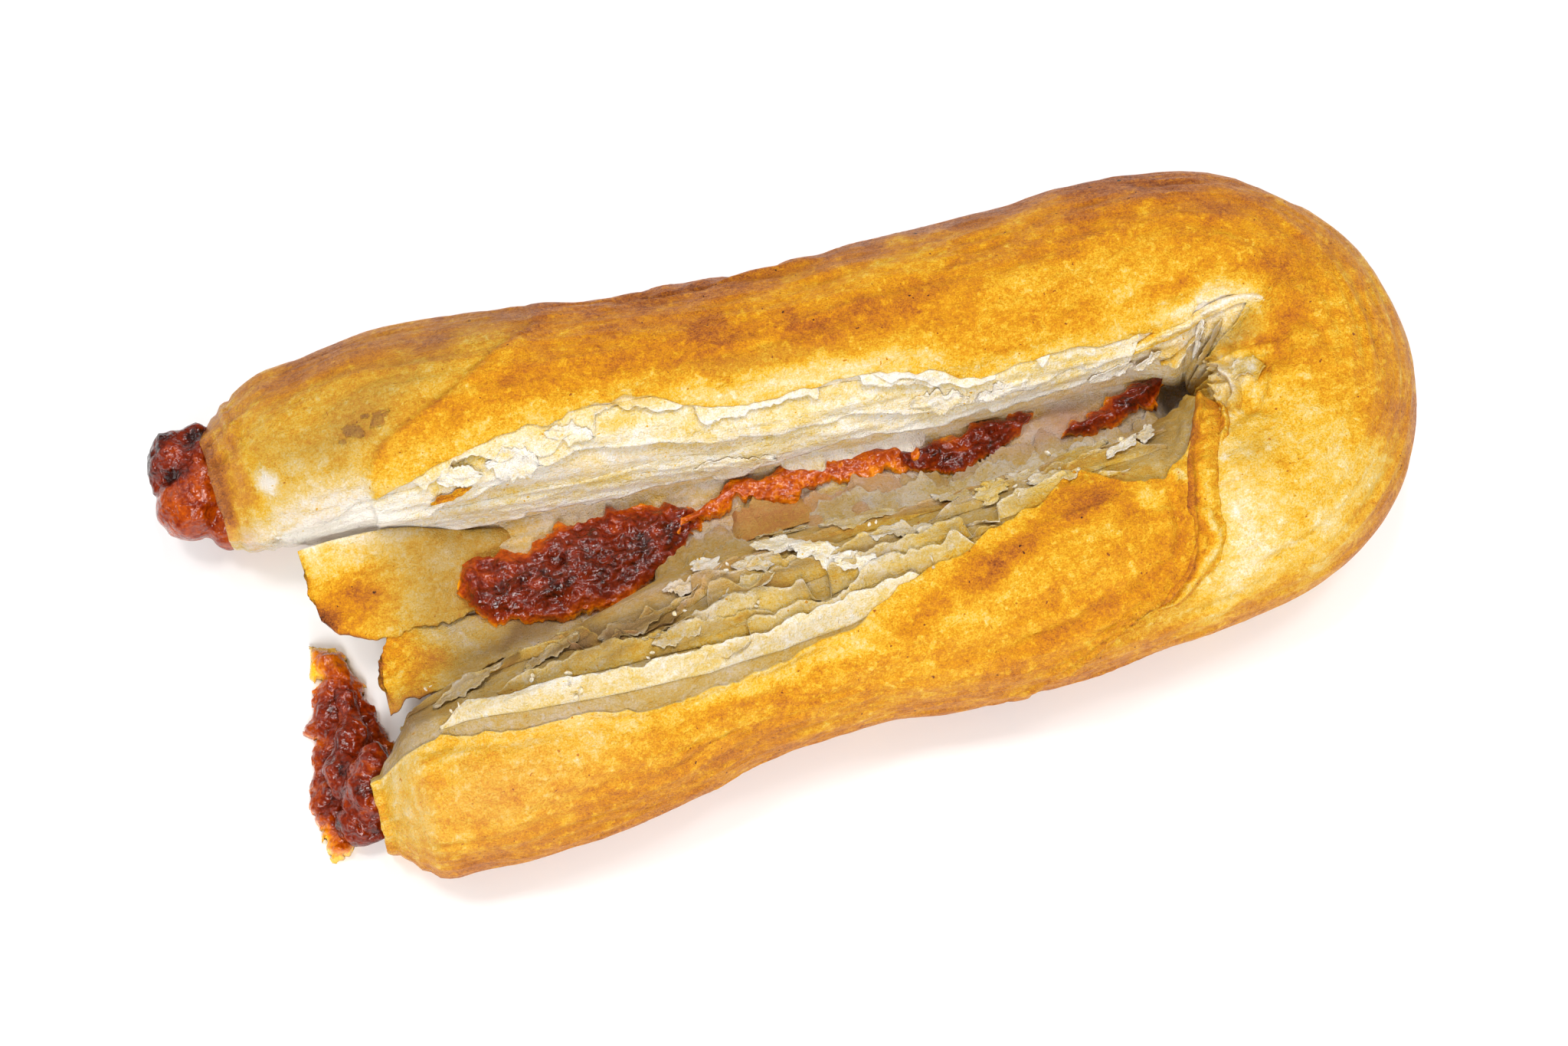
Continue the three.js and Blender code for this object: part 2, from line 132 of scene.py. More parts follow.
roll = {
    "longLeg": [  # x, y, half width, and the angle at which the browned outer sheet ends
        (-88.5, 27.2, 13.5, 152), (-84, 27.3, 15.1, 152), (-76, 27.9, 16.7, 148), (-60, 27.5, 18.4, 130),
        (-44, 25.4, 18.8, 116), (-22, 22.3, 18.0, 107), (0, 20.0, 17.8, 120), (20, 19.1, 18.4, 119),
        (41, 18.3, 18.4, 127),
    ],
    "bendCentre": (61.3, -2.2), "bendRadius": 20.2, "bendHalfWidth": 18.4,
    "bendSheetEnds": [132, 136, 142, 150, 150, 138, 118],
    "shortLeg": [
        (42, -24.0, 18.2, 130), (22, -24.6, 18.1, 105), (2, -22.4, 17.8, 74), (-20, -22.8, 18.2, 64),
        (-40, -26.6, 17.9, 78), (-58, -28.8, 16.7, 97), (-70, -29.4, 15, 106), (-77.5, -29, 11.2, 110),
    ],
    "heightShare": 0.9, "restShare": 0.93, "pointsPerRow": 60,
}


def bendRows():
    ends = roll["bendSheetEnds"]
    turns = np.radians(np.linspace(90, -90, len(ends)))
    middleX, middleY = roll["bendCentre"]
    return [
        (middleX + roll["bendRadius"] * math.cos(t), middleY + roll["bendRadius"] * math.sin(t),
         roll["bendHalfWidth"], end)
        for t, end in zip(turns, ends)
    ]


rows = np.array(roll["longLeg"] + bendRows() + roll["shortLeg"])


def courseLine():  # a centripetal spline through the rows' centres
    points = rows[:, :2]
    run = np.vstack([2 * points[0] - points[1], points, 2 * points[-1] - points[-2]])
    gaps = np.linalg.norm(np.diff(run, axis=0), axis=1) ** 0.5
    t = (np.arange(roll["pointsPerRow"]) / roll["pointsPerRow"])[:, None]
    line = []
    for i in range(len(points) - 1):
        before, start, end, after = run[i:i + 4]
        g0, g1, g2 = gaps[i:i + 3]
        leave = g1 * ((start - before) / g0 - (end - before) / (g0 + g1) + (end - start) / g1)
        arrive = g1 * ((end - start) / g1 - (after - start) / (g1 + g2) + (after - end) / g2)
        line.append(
            (2 * t ** 3 - 3 * t ** 2 + 1) * start + (t ** 3 - 2 * t ** 2 + t) * leave
            + (3 * t ** 2 - 2 * t ** 3) * end + (t ** 3 - t ** 2) * arrive
        )
    return np.vstack([*line, points[-1:]])


linePoints = courseLine()
lineRuns = np.concatenate([[0], np.cumsum(np.linalg.norm(np.diff(linePoints, axis=0), axis=1))])
lineAlong = np.gradient(linePoints, lineRuns, axis=0)
lineAlong /= np.linalg.norm(lineAlong, axis=1)[:, None]
courseLength = lineRuns[-1]
rowRuns = lineRuns[::roll["pointsPerRow"]]
bendStart = rowRuns[len(roll["longLeg"])]
bendEnd = rowRuns[len(roll["longLeg"]) + len(roll["bendSheetEnds"]) - 1]
bendMiddle = (bendStart + bendEnd) / 2


def rowValue(column, run):  # one column of the rows at a run, eased from row to row
    i = np.clip(np.searchsorted(rowRuns, run, side="right") - 1, 0, len(rowRuns) - 2)
    share = ease(run, rowRuns[i], rowRuns[i + 1])
    return rows[i, column] * (1 - share) + rows[i + 1, column] * share


def lineValue(values, run):
    return np.interp(run, lineRuns, values)


halfWidthColumn, sheetEndColumn = 2, 3


def skin(run, angle, lift=0.0, share=1.0, standsOut=0.0):
    run, angle, lift, share, standsOut = np.broadcast_arrays(run, angle, lift, share, standsOut)
    half = rowValue(halfWidthColumn, run)
    high = half * roll["heightShare"]
    turn = np.radians(angle)
    alongX, alongY = lineValue(lineAlong[:, 0], run), lineValue(lineAlong[:, 1], run)
    out = share * (half + lift) * np.cos(turn)
    x = lineValue(linePoints[:, 0], run) - alongY * out + alongX * standsOut
    y = lineValue(linePoints[:, 1], run) + alongX * out + alongY * standsOut
    z = high * roll["restShare"] + share * (high + lift) * np.sin(turn)
    return np.stack([x, y, np.maximum(z, 0)], -1)


seenTable = {"runStep": 0.5, "angleStep": 0.5, "lowest": -30, "hiddenPast": {"long": 186, "short": 161}}
seenTable["runs"] = np.arange(0, courseLength, seenTable["runStep"])
seenTable["angles"] = np.arange(seenTable["lowest"], seenTable["hiddenPast"]["long"], seenTable["angleStep"])
seenTable["x"], seenTable["y"] = asSeen(skin(seenTable["runs"][:, None], seenTable["angles"][None, :]))


def facing(run, angle):  # more than nothing where the plain roll's skin faces the camera
    outward = np.cos(np.radians(angle)) * roll["heightShare"]
    sideways = lineValue(lineAlong[:, 1], run) * lean[0] - lineValue(lineAlong[:, 0], run) * lean[1]
    return sideways * outward + np.sin(np.radians(angle))


seenTable["shown"] = facing(seenTable["runs"][:, None], seenTable["angles"][None, :]) > 0


def onRoll(seenPoints, leg="", fromRun=0.0, toRun=courseLength):  # run and angle of places on the photograph
    used = (seenTable["runs"] >= fromRun) & (seenTable["runs"] <= toRun)
    near = seenTable["angles"] < seenTable["hiddenPast"]["long" if leg == "long" else "short"]
    shown = seenTable["shown"][used][:, near] | (seenTable["angles"][near] > 90)
    found = []
    for x, y in seenPoints:
        away = (seenTable["x"][used][:, near] - x) ** 2 + (seenTable["y"][used][:, near] - y) ** 2
        i, j = np.unravel_index(np.argmin(np.where(shown, away, np.inf)), away.shape)
        found.append((seenTable["runs"][used][i], seenTable["angles"][near][j]))
    return np.array(found)


def longSide(seenPoints):
    return onRoll(seenPoints, "long", toRun=bendMiddle)


def shortSide(seenPoints):
    return onRoll(seenPoints, "short", fromRun=bendMiddle)


def smoothLine(points, count):  # evenly spaced points on a soft curve through a few
    points = np.asarray(points, float)
    at = np.arange(len(points))
    fine = np.linspace(0, len(points) - 1, max(count, 8 * len(points)))
    curve = np.stack([np.interp(fine, at, points[:, k]) for k in range(points.shape[1])], 1)
    width = max(1, len(fine) // (2 * len(points)))
    kernel = np.hanning(2 * width + 3)[1:-1]
    kernel /= kernel.sum()
    padded = np.pad(curve, ((width, width), (0, 0)), mode="reflect", reflect_type="odd")
    curve = np.stack([np.convolve(padded[:, k], kernel, "valid") for k in range(points.shape[1])], 1)
    gone = np.concatenate([[0], np.cumsum(np.linalg.norm(np.diff(curve, axis=0), axis=1))])
    even = np.linspace(0, gone[-1], count)
    return np.stack([np.interp(even, gone, curve[:, k]) for k in range(points.shape[1])], 1)


# Meshes

def addObject(name, data):
    piece = bpy.data.objects.new(name, data)
    bpy.context.scene.collection.objects.link(piece)
    return piece


def addMark(mesh, mark, values):
    layer = mesh.attributes.new(mark, "FLOAT", "POINT")
    layer.data.foreach_set("value", np.asarray(values, np.float32).ravel())


def settled(piece):  # the mesh that an object's modifiers make, in place of the object
    bpy.context.view_layer.update()
    graph = bpy.context.evaluated_depsgraph_get()
    made = bpy.data.meshes.new_from_object(piece.evaluated_get(graph))
    bpy.data.objects.remove(piece)
    return made


def meshFrom(name, points, quads, triangles=(), marks=None):
    mesh = bpy.data.meshes.new(name)
    faces = [*map(tuple, np.asarray(quads).tolist()), *map(tuple, np.asarray(triangles).tolist())]
    mesh.from_pydata((np.asarray(points) * mm).tolist(), [], faces)
    for mark, values in (marks or {}).items():
        addMark(mesh, mark, values)
    bm = bmesh.new()
    bm.from_mesh(mesh)
    bmesh.ops.recalc_face_normals(bm, faces=bm.faces)
    bm.to_mesh(mesh)
    bm.free()
    mesh.shade_smooth()
    return addObject(name, mesh)


def spreadOver(grid, marks):  # each mark with a value for every point of the grid
    return [(mark, np.broadcast_to(values, grid.shape[:2])) for mark, values in (marks or {}).items()]


def tube(name, rings, marks=None):  # rings is (rings, points round, 3), each ring closed, with both ends shut
    ringCount, around = rings.shape[:2]
    points = rings.reshape(-1, 3)
    i, j = np.meshgrid(np.arange(ringCount - 1), np.arange(around), indexing="ij")
    a = i * around + j
    b = i * around + (j + 1) % around
    quads = np.stack([a, b, b + around, a + around], -1).reshape(-1, 4)
    first, last = len(points), len(points) + 1
    points = np.vstack([points, rings[0].mean(0), rings[-1].mean(0)])
    j = np.arange(around)
    nextJ = (j + 1) % around
    lastRing = (ringCount - 1) * around
    caps = np.vstack([
        np.stack([nextJ, j, np.full(around, first)], 1),
        np.stack([lastRing + j, lastRing + nextJ, np.full(around, last)], 1),
    ])
    fullMarks = {}
    for mark, values in spreadOver(rings, marks):
        fullMarks[mark] = np.concatenate([values.ravel(), [values[0].mean(), values[-1].mean()]])
    return meshFrom(name, points, quads, caps, fullMarks)


def shareGrid(steps, across, low=0):  # shares along a sheet and across it, up to 1
    return np.linspace(low, 1, steps)[:, None], np.linspace(low, 1, across)[None, :]


def makeAll(make, rows, firstSeed, step=10):  # a piece for each name, with seeds of its own
    return [make(name, firstSeed + step * i) for i, name in enumerate(rows)]


def slab(name, top, bottom, marks=None):  # a thin closed sheet between two grids of points
    rings = np.concatenate([top, bottom[:, ::-1]], axis=1)
    doubled = {
        mark: np.concatenate([values, values[:, ::-1]], axis=1)
        for mark, values in spreadOver(top, marks)
    }
    return tube(name, rings, doubled)


# How brown, dull, stained and wet the pastry is. Each mark is a soft spot on the photograph's plane.

spots = {
    "bake": [  # x, y, half length, half width, turn in degrees, amount
        (-72, 42, 14, 3.5, 10, 0.20), (-45, 42.5, 22, 3.2, 0, 0.24), (-10, 38, 20, 3.4, -5, 0.22),
        (30, 37.5, 30, 3.0, 0, 0.26), (62, 36, 16, 3.2, -12, 0.24), (-34, 31, 11, 3.2, 15, 0.10),
        (-12, 29.5, 12, 4, 0, 0.10), (2, 27, 12, 4, -8, 0.10), (14, 25.5, 11, 4, 0, 0.11),
        (-22, 28, 12, 4, 6, 0.10), (-46, 29, 8, 2.0, 20, 0.06), (26, 24, 12, 4, -10, 0.10),
        (36, 13.2, 8, 1.4, -15, 0.08), (46, 29, 18, 4, 5, 0.10), (74, 28, 14, 5.0, -20, 0.14),
        (88, 18, 9, 5.0, -55, 0.10), (82, 9, 4, 6, 10, 0.17), (76, 15, 9, 1.8, -8, 0.10),
        (95, 0, 3, 14, 0, 0.07), (92, -17, 4, 9, 25, 0.12), (85, -30, 7, 3, 40, 0.10),
        (-62, -43, 16, 3, 14, 0.08), (-36, -39, 16, 3, 14, 0.08), (-14, -35.5, 14, 3, 8, 0.07),
        (24, -20.5, 14, 3.2, 22, 0.22), (40, -13, 8, 3, 10, 0.09),
        (24, -38, 10, 3, 20, 0.08), (46, -20, 3, 7, 10, 0.10), (-83.5, 21, 2.0, 8, 0, 0.06),
        (-20, -30.5, 12, 1.6, 0, 0.12), (80, -3, 8, 2.0, -10, 0.08), (44, -14, 6, 2.4, 20, 0.10),
    ],
    "dull": [
        (-74, 30, 10, 6, 15, 0.30), (-66, 28, 8, 4, 20, 0.30), (-58, 34, 12, 3.5, 20, 0.30),
        (-60, -19, 14, 1.6, -8, 0.20), (-36, -14.2, 16, 2.0, 3, 0.70), (-50, -9.6, 9, 1.6, 14, 0.60),
        (-14, -22.5, 12, 1.6, 4, 0.30), (-50, 40, 20, 3, 5, 0.25), (30, 37, 26, 2.5, 0, 0.25),
        # (72, 5) is painted shade: it greys the hollow below the bend's pinch
        (72, 5, 5, 2.2, 12, 0.80), (-72, -18, 5, 4, 0, 0.60), (68, -14, 5, 4, 60, 0.30),
        (55, -8, 4, 4, 60, 0.40), (-2, 22.5, 16, 1.6, -6, 0.30), (43, -1.4, 8, 2.6, -5, 0.55),
    ],
    "pale": [
        (63, -24, 4, 9, -12, 0.16), (60, -35, 9, 3, 35, 0.20), (74, -33, 10, 5, 35, 0.20),
        (70, 10.5, 9, 2, 6, 0.20), (75, 6, 6, 2.4, 8, 0.20), (70, -2, 4, 4, 0, 0.20),
        (78, -12, 9, 8, 0, 0.05),
        (45, 21, 16, 2.4, 0, 0.07), (58, 17, 12, 2.2, 0, 0.10), (-2, 17.5, 16, 1.6, -4, 0.14),
        (-52, -24, 22, 1.4, -5, 0.10), (15, 17, 14, 1.2, -10, 0.10), (-76, 23, 6, 4, 20, 0.16),
        # (-81.5, 24.5) is a painted highlight on the glaze at the long leg's end
        (-81.5, 24.5, 1.5, 2.4, 10, 0.60), (-74, 13, 12, 4.0, 5, 0.40), (-66, 22, 3, 4, 0, 0.08),
        (-64.5, -26.5, 4, 1.0, 5, 0.14), (-74, -28, 2.5, 9, 0, 0.14), (84, -22, 9, 6, 50, 0.10),
        (-60, -34, 20, 8, 5, 0.07), (0, -28, 14, 2.2, 14, 0.08), (20, -26, 12, 2.2, 18, 0.07),
        (-30, -30, 16, 2.4, 4, 0.06),
    ],
    "wet": [
        (-85, 24, 3, 12, 0, 0.9), (-81, 25, 3, 4, 0, 0.6), (-73, -22, 4, 8, 0, 0.7),
        (-63, -26.5, 5, 2, 0, 0.7), (-69, -32, 3, 6, 0, 0.5), (-60, -8, 5, 3, 0, 0.35),
    ],
    "stain": [
        (-12, -1, 14, 2.4, -8, 0.30), (26, -2, 14, 2.2, -8, 0.2), (-60, -34, 20, 8, 5, 0.3),
        (42, -1.6, 7, 2.4, -5, 0.55),
        (-38, 7, 16, 1.2, 4, 0.08), (-30, -10, 14, 1.6, 0, 0.35), (-87, 16, 1.6, 3, 0, 0.5),
    ],
}
blotches = {
    "wide": (8, 5, 0.05), "small": (2.2, 1.6, 0.07), "seed": 5,  # widths along x and y, amount
    "driftX": (1.6, 5, 5, 3), "driftY": (1.2, 4, 4, 4),
    "brown": 0.72, "pastBrown": 0.4,  # past this brown, more baking counts for less
}


def spotSum(kind, seenX, seenY):
    total = np.zeros(seenX.shape)
    for x, y, length, width, turn, amount in spots[kind]:
        c, s = math.cos(math.radians(turn)), math.sin(math.radians(turn))
        u = ((seenX - x) * c + (seenY - y) * s) / length
        v = ((seenY - y) * c - (seenX - x) * s) / width
        total += amount * np.exp(-u * u - v * v)
    return total


def painted(points, bake, dull=0.0, wet=0.0, stain=0.0):
    b = blotches
    x, y = asSeen(points)
    x = x + wave(b["driftX"], x, y, layers=2)
    y = y + wave(b["driftY"], x, y, layers=2)
    for wide, high, amount in (b["wide"], b["small"]):
        bake = bake + amount * roughNoise(x / wide, y / high, points[..., 2] / high, seed=b["seed"], layers=2)
    bake = bake + spotSum("bake", x, y) - spotSum("pale", x, y)
    return {
        "bake": np.minimum(bake, b["brown"] + b["pastBrown"] * (bake - b["brown"])),
        "dull": dull + spotSum("dull", x, y),
        "wet": wet + spotSum("wet", x, y),
        "stain": stain + spotSum("stain", x, y),
    }


# The roll: one skin from end to end, with the browned sheet's torn edge, its hem, pleats, seam and creases

skinPiece = {
    "rings": 440, "outerLines": 112, "innerLines": 58, "innerCrowding": 1.15, "underLines": 7,
    "closeRings": {"from": 176, "to": 262, "share": 2.3, "width": 14, "samples": 4000},
    "edgeLines": (-0.6, -0.22, 0.22, 0.7), "edgeMargin": 1.0, "inset": 0.4, "ragged": (2.6, 4.5, 1, 11),
    "edgeBlend": (9, 6), "upSide": (-15, 0, 165, 178), "hemPoints": 60, "overlapPoints": 40,
    "endWobble": (0.3, 14, 1, 41), "wobblesDeep": 9,
}
wrinkles = {  # height, width along the run, width round the roll, seed
    "soft": (0.34, 11, 9, 21), "shallow": (0.17, 6, 4, 22), "sway": (2.55, 20, 6, 24),
    "long": (0.26, 14, 1.7, 23), "fine": (0.16, 5, 0.8, 25), "cross": (0.26, 1.4, 8, 26),
    "crossAngles": (70, 120), "crossSpread": 1.5,
}
pleats = {"depth": 0.8, "perTurn": 18, "from": 118, "to": 155, "spread": 70, "uneven": (1.2, 0.25, 1, 27)}
seam = {"angle": 38, "sharp": 2, "lip": 0.9, "fromX": -22, "toX": 14, "fade": 5}
bead = {
    "rise": 1.2, "offset": 14, "width": 9, "groove": 1.0, "grooveWidth": 5, "fromX": -74, "toX": 8,
    "fades": (8, 14),
}
hem = {
    "step": 1.3, "fade": 26, "underShare": 0.4, "underAngles": (-10, 50), "width": 0.9,
    "wander": (1.1, 7, 1, 45), "drift": (0.5, 5, 1, 46), "uneven": (0.6, 8, 1, 47), "even": 0.7,
    "folds": [  # distance past the hem, half width, height
        (1.6, 1.1, 0.55), (3.3, 0.6, -0.45), (4.7, 0.9, 0.35), (6.3, 0.7, -0.35), (-1.3, 0.8, -0.35),
    ],
}
overlap = {"step": 0.85, "width": 0.5, "angles": (10, 40)}
wraps = {
    "pitch": 1.9, "depth": 0.85, "reach": 7.5, "fade": 3, "slant": (0.7, 45, 1, 0), "twist": 400,
    "sharp": 0.18, "sunk": 0.1, "longSeed": 43, "shortSeed": 44,
}
endRound = {"long": (5.0, 0.9), "short": (8.5, 4.2), "fullness": 0.96}  # reach and depth at each end
flankStep = {
    "sheet": 0.6, "sunk": 2.0, "foot": 176, "nearBend": 24, "onLeg": 44, "bendShare": 0.3,
    "lip": 0.25, "lipWidth": 1.2, "sharp": 0.01,
}
goldenEdgeLong = [  # where the browned sheet ends on the long leg, as seen
    (-66, 16.6), (-60, 18), (-55, 20.4), (-47, 21), (-40, 21.6), (-33, 22.2),
    (-25, 22.6), (-19, 21.4), (-15, 19), (-8, 15.8), (0, 15.2), (8, 15.2), (15, 14.6), (25, 12), (32, 9.4),
    (38, 9.6), (45, 9.8), (52, 8.4), (60, 8.2), (66, 9.4), (71, 11.2), (76, 11),
]
goldenEdgeShort = [  # and on the short leg
    (55, -14), (53, -15.5), (50, -15.5), (47, -13.6), (44, -11.8), (41, -10.2), (38, -11), (33, -13.5),
    (28, -15), (20, -17), (10, -20.3), (5, -21.5), (0, -24), (-8, -25.6), (-15, -26.8), (-28, -27.8),
    (-35, -27.5), (-45, -25.5), (-57, -24.5), (-68, -22.5),
]
hemPath = [  # the outer sheet's gathered end, from the valley over the short leg to its outer side, as seen
    (64.5, -5), (63.5, -7.2), (61.9, -10), (59.8, -12.8), (58.2, -16), (56.8, -20), (56.2, -24.5),
    (54.8, -29), (51, -32.8), (45, -35.2), (38, -38.2), (31, -41), (25, -43.4),
]
overlapPath = [(-66, 17.5), (-65, 22), (-61, 26.5), (-50, 31), (-40, 36.5), (-33, 39.5)]
creases = [  # points along it as seen, width, depth (a ridge where it is less than nothing)
    ([(25, 28), (38, 30.5), (50, 33)], 0.8, 0.35), ([(64, 34.5), (72, 33), (80, 31), (92, 23)], 0.9, 0.55),
    ([(28, 31.5), (45, 33.5), (60, 33)], 0.7, 0.3), ([(55, 27), (70, 26), (82, 20)], 1.0, 0.25),
    ([(40, 26), (52, 28), (66, 28.5)], 0.8, 0.22), ([(-76, 31), (-66, 36), (-56, 39)], 0.8, 0.2),
    ([(-80, 20), (-74, 23), (-68, 24)], 0.9, 0.2), ([(20, 36), (34, 35), (52, 36.5)], 0.7, 0.3),
    ([(60, 14.5), (72, 14.2), (80, 11.4), (85, 7)], 1.7, -0.6),
    ([(61, 12), (72, 12.4), (79, 9.6)], 0.9, 0.35),
    ([(80, 9), (82.6, 5), (82, 1), (79, -2)], 1.4, -0.5), ([(78, 8), (80, 4.4), (79, 1.4)], 1.1, 0.5),
    ([(73, -4.6), (77, -4), (81, -4.6)], 1.1, -0.45), ([(86, 12), (88, 7), (88, 2)], 1.1, 0.3),
    ([(76, 6.4), (80, 6), (84, 3)], 1.2, 0.35), ([(72, 1), (75, 0.4), (78, -1)], 0.8, 0.6),
    ([(84, 2), (82, -1), (78.6, -2.6), (73.2, -3.7)], 1.5, -0.5),
    ([(82, 6), (85, 2), (85, -2)], 0.8, 0.35), ([(76, -5), (82, -6.2), (88, -6.4)], 0.9, 0.3),
    ([(75, -8), (81, -9.4), (86, -9.8)], 0.8, 0.25), ([(76, 1), (82, 0.4), (86, -0.6)], 0.8, 0.3),
    ([(67.3, 3.6), (70.2, 3.0), (73.1, 2.6), (79, 2.7)], 0.8, 1.0),
    ([(70.5, 5.4), (74.5, 5.6), (77, 5.2)], 2.0, 0.8),
    ([(69.3, 5.9), (72.6, 6.9), (74.6, 6.7)], 0.7, 0.7), ([(66.5, 2.7), (63.8, 0.3)], 1.0, 1.0),
    ([(53, -13), (53.8, -18), (53.4, -24), (50.5, -28.6), (38, -33), (20, -36)], 1.3, 0.8),
    ([(58.5, -6), (56.5, -10), (55.4, -14)], 1.2, 0.5), ([(56, -24), (54, -29), (49, -32.4)], 0.8, 0.5),
    ([(59.5, -19), (60, -25), (58, -31)], 1.4, 0.5), ([(62, -16), (64, -22), (64, -27)], 0.9, 0.18),
    ([(47, -17), (49, -21), (47, -26)], 1.4, 0.3), ([(34, -27), (40, -24), (46, -19)], 1.6, -0.3),
    ([(20, -32), (30, -30), (40, -28)], 1.0, 0.22), ([(-10, -31), (4, -28), (16, -24)], 1.2, 0.3),
    ([(-40, -33), (-20, -32), (0, -29)], 1.0, 0.22), ([(66, -6.6), (70, -7.4), (75, -9.5)], 0.9, 0.4),
    ([(74.3, -0.2), (73.3, -1.8), (74, -3)], 0.8, 0.9), ([(72.4, -3.9), (71.6, -6.6)], 0.9, 0.9),
    ([(68.5, -4.9), (70.1, -7.3)], 1.1, 1.0), ([(10, 33), (22, 33), (34, 34)], 0.6, 0.22),
    ([(-21, 39.6), (-14, 39), (-8, 38.2), (7, 37.6)], 0.5, 1.0),
    ([(-20, 37.6), (-6, 36.6), (8, 36)], 0.8, 0.3),
]


def edgeFunction(found):
    order = np.argsort(found[:, 0])
    runs, angles = found[order, 0], found[order, 1]
    first, last = skinPiece["edgeBlend"]

    def edge(run):
        blend = between(run, runs[0] - first, runs[0], runs[-1], runs[-1] + last)
        return blend * np.interp(run, runs, angles) + (1 - blend) * rowValue(sheetEndColumn, run)
    return edge


longEdge = edgeFunction(longSide(goldenEdgeLong))
shortEdge = edgeFunction(shortSide(goldenEdgeShort))


def goldenEdge(run):  # the angle at which the browned sheet ends, torn unevenly
    ragged = wave(skinPiece["ragged"], run, layers=4)
    return np.where(run < bendMiddle, longEdge(run), shortEdge(run)) + ragged


def runAtAngle(places):  # a path over the roll as a run for each angle
    order = np.argsort(places[:, 1])
    return lambda angle: np.interp(angle, places[order, 1], places[order, 0])


hemRun = runAtAngle(smoothLine(shortSide(hemPath), skinPiece["hemPoints"]))
overlapRun = runAtAngle(smoothLine(longSide(overlapPath), skinPiece["overlapPoints"]))


def placeX(run):
    return lineValue(linePoints[:, 0], run)


creaseShape = {
    "atEnds": 0.3, "endWidths": 3, "bendReach": 30, "swayX": (0.5, 3, 3, 28), "swayY": (0.5, 3, 3, 29),
}


def creaseLift(seenX, seenY, run):
    c = creaseShape
    total = np.zeros(seenX.shape)
    for path, width, depth in creases:
        nearest = np.full(seenX.shape, np.inf)
        for (x0, y0), (x1, y1) in zip(path, path[1:]):
            long = (x1 - x0) ** 2 + (y1 - y0) ** 2
            t = np.clip(((seenX - x0) * (x1 - x0) + (seenY - y0) * (y1 - y0)) / long, 0, 1)
            away = np.hypot(seenX - x0 - t * (x1 - x0), seenY - y0 - t * (y1 - y0))
            nearest = np.minimum(nearest, away)
        startAway = np.hypot(seenX - path[0][0], seenY - path[0][1])
        endAway = np.hypot(seenX - path[-1][0], seenY - path[-1][1])
        inside = ease(np.minimum(startAway, endAway), 0, c["endWidths"] * width)
        fade = c["atEnds"] + (1 - c["atEnds"]) * inside
        onLong = run < bendMiddle + c["bendReach"]
        onShort = run > bendMiddle - c["bendReach"]
        onThisSide = onLong if path[0][1] > 0 else onShort
        total = total - depth * fade * np.exp(-(nearest / width) ** 2) * onThisSide
    return total


def seenCreases(run, angle):
    seenX, seenY = asSeen(skin(run, angle))
    seenX = seenX + wave(creaseShape["swayX"], seenX, seenY)
    seenY = seenY + wave(creaseShape["swayY"], seenX, seenY)
    return creaseLift(seenX, seenY, run) * between(angle, *skinPiece["upSide"])


def wrapLift(fromEnd, angle, seed):  # wound layers that step down to an open end
    w = wraps
    turn = fromEnd / w["pitch"] + wave(w["slant"], angle, seed=seed) + angle / w["twist"]
    part = turn - np.floor(turn)
    stepped = w["depth"] * (1 - part) * ease(part, 0, w["sharp"])
    return -(stepped + w["sunk"]) * ease(-fromEnd, -w["reach"], -w["reach"] + w["fade"])


def bothWraps(run, angle):
    return wrapLift(run, angle, wraps["longSeed"]), wrapLift(courseLength - run, angle, wraps["shortSeed"])


def endRounding(fromEnd, leg):
    reach, depth = endRound[leg]
    left = np.clip(1 - fromEnd / reach, 0, 1)
    return -depth * (1 - np.sqrt(1 - endRound["fullness"] * left ** 2))


def roundThe(angle):  # an angle as a length over a leg of the bend's width
    return np.radians(angle) * roll["bendHalfWidth"]


def bendTurn(run):  # the turn from the bend's middle, in radians
    return (run - bendMiddle) / roll["bendRadius"]


degreeLength = roundThe(1)  # how far one degree reaches round a leg


def wrinkleLift(run, angle):
    w = wrinkles
    arc = roundThe(angle)
    total = wave(w["soft"], run, arc) + wave(w["shallow"], run, arc)
    total = total + wave(w["long"], run, arc + wave(w["sway"], run, arc))
    total = total + wave(w["fine"], run, arc, layers=2)
    inBend = hump(bendTurn(run), 0, w["crossSpread"])
    return total + wave(w["cross"], run, arc) * inBend * ease(angle, *w["crossAngles"])


def pleatLift(run, angle):
    p = pleats
    turned = bendTurn(run)
    gathered = ease(angle, p["from"], p["to"]) * hump(turned, 0, math.radians(p["spread"]))
    return p["depth"] * gathered * np.cos(p["perTurn"] * turned + wave(p["uneven"], turned, 1.0))


def seamLift(run, angle):  # the sheet's end, low on the long leg's outer side
    x = placeX(run)
    inSeam = between(x, seam["fromX"], seam["fromX"] + seam["fade"], seam["toX"] - seam["fade"], seam["toX"])
    inSeam = inSeam * (run < bendMiddle)
    rise = ease(angle, 0, seam["angle"]) * ease(seam["angle"] - angle, 0, seam["sharp"])
    return seam["lip"] * inSeam * rise


def beadLift(run, angle):  # the roll of pastry along the short leg's torn edge
    x = placeX(run)
    fadeIn, fadeOut = bead["fades"]
    inBead = between(x, bead["fromX"], bead["fromX"] + fadeIn, bead["toX"] - fadeOut, bead["toX"])
    inBead = inBead * (run >= bendMiddle)
    edge = shortEdge(run)
    rise = bead["rise"] * hump(angle, edge + bead["offset"], bead["width"])
    return inBead * (rise - bead["groove"] * hump(angle, edge - bead["grooveWidth"], bead["grooveWidth"]))


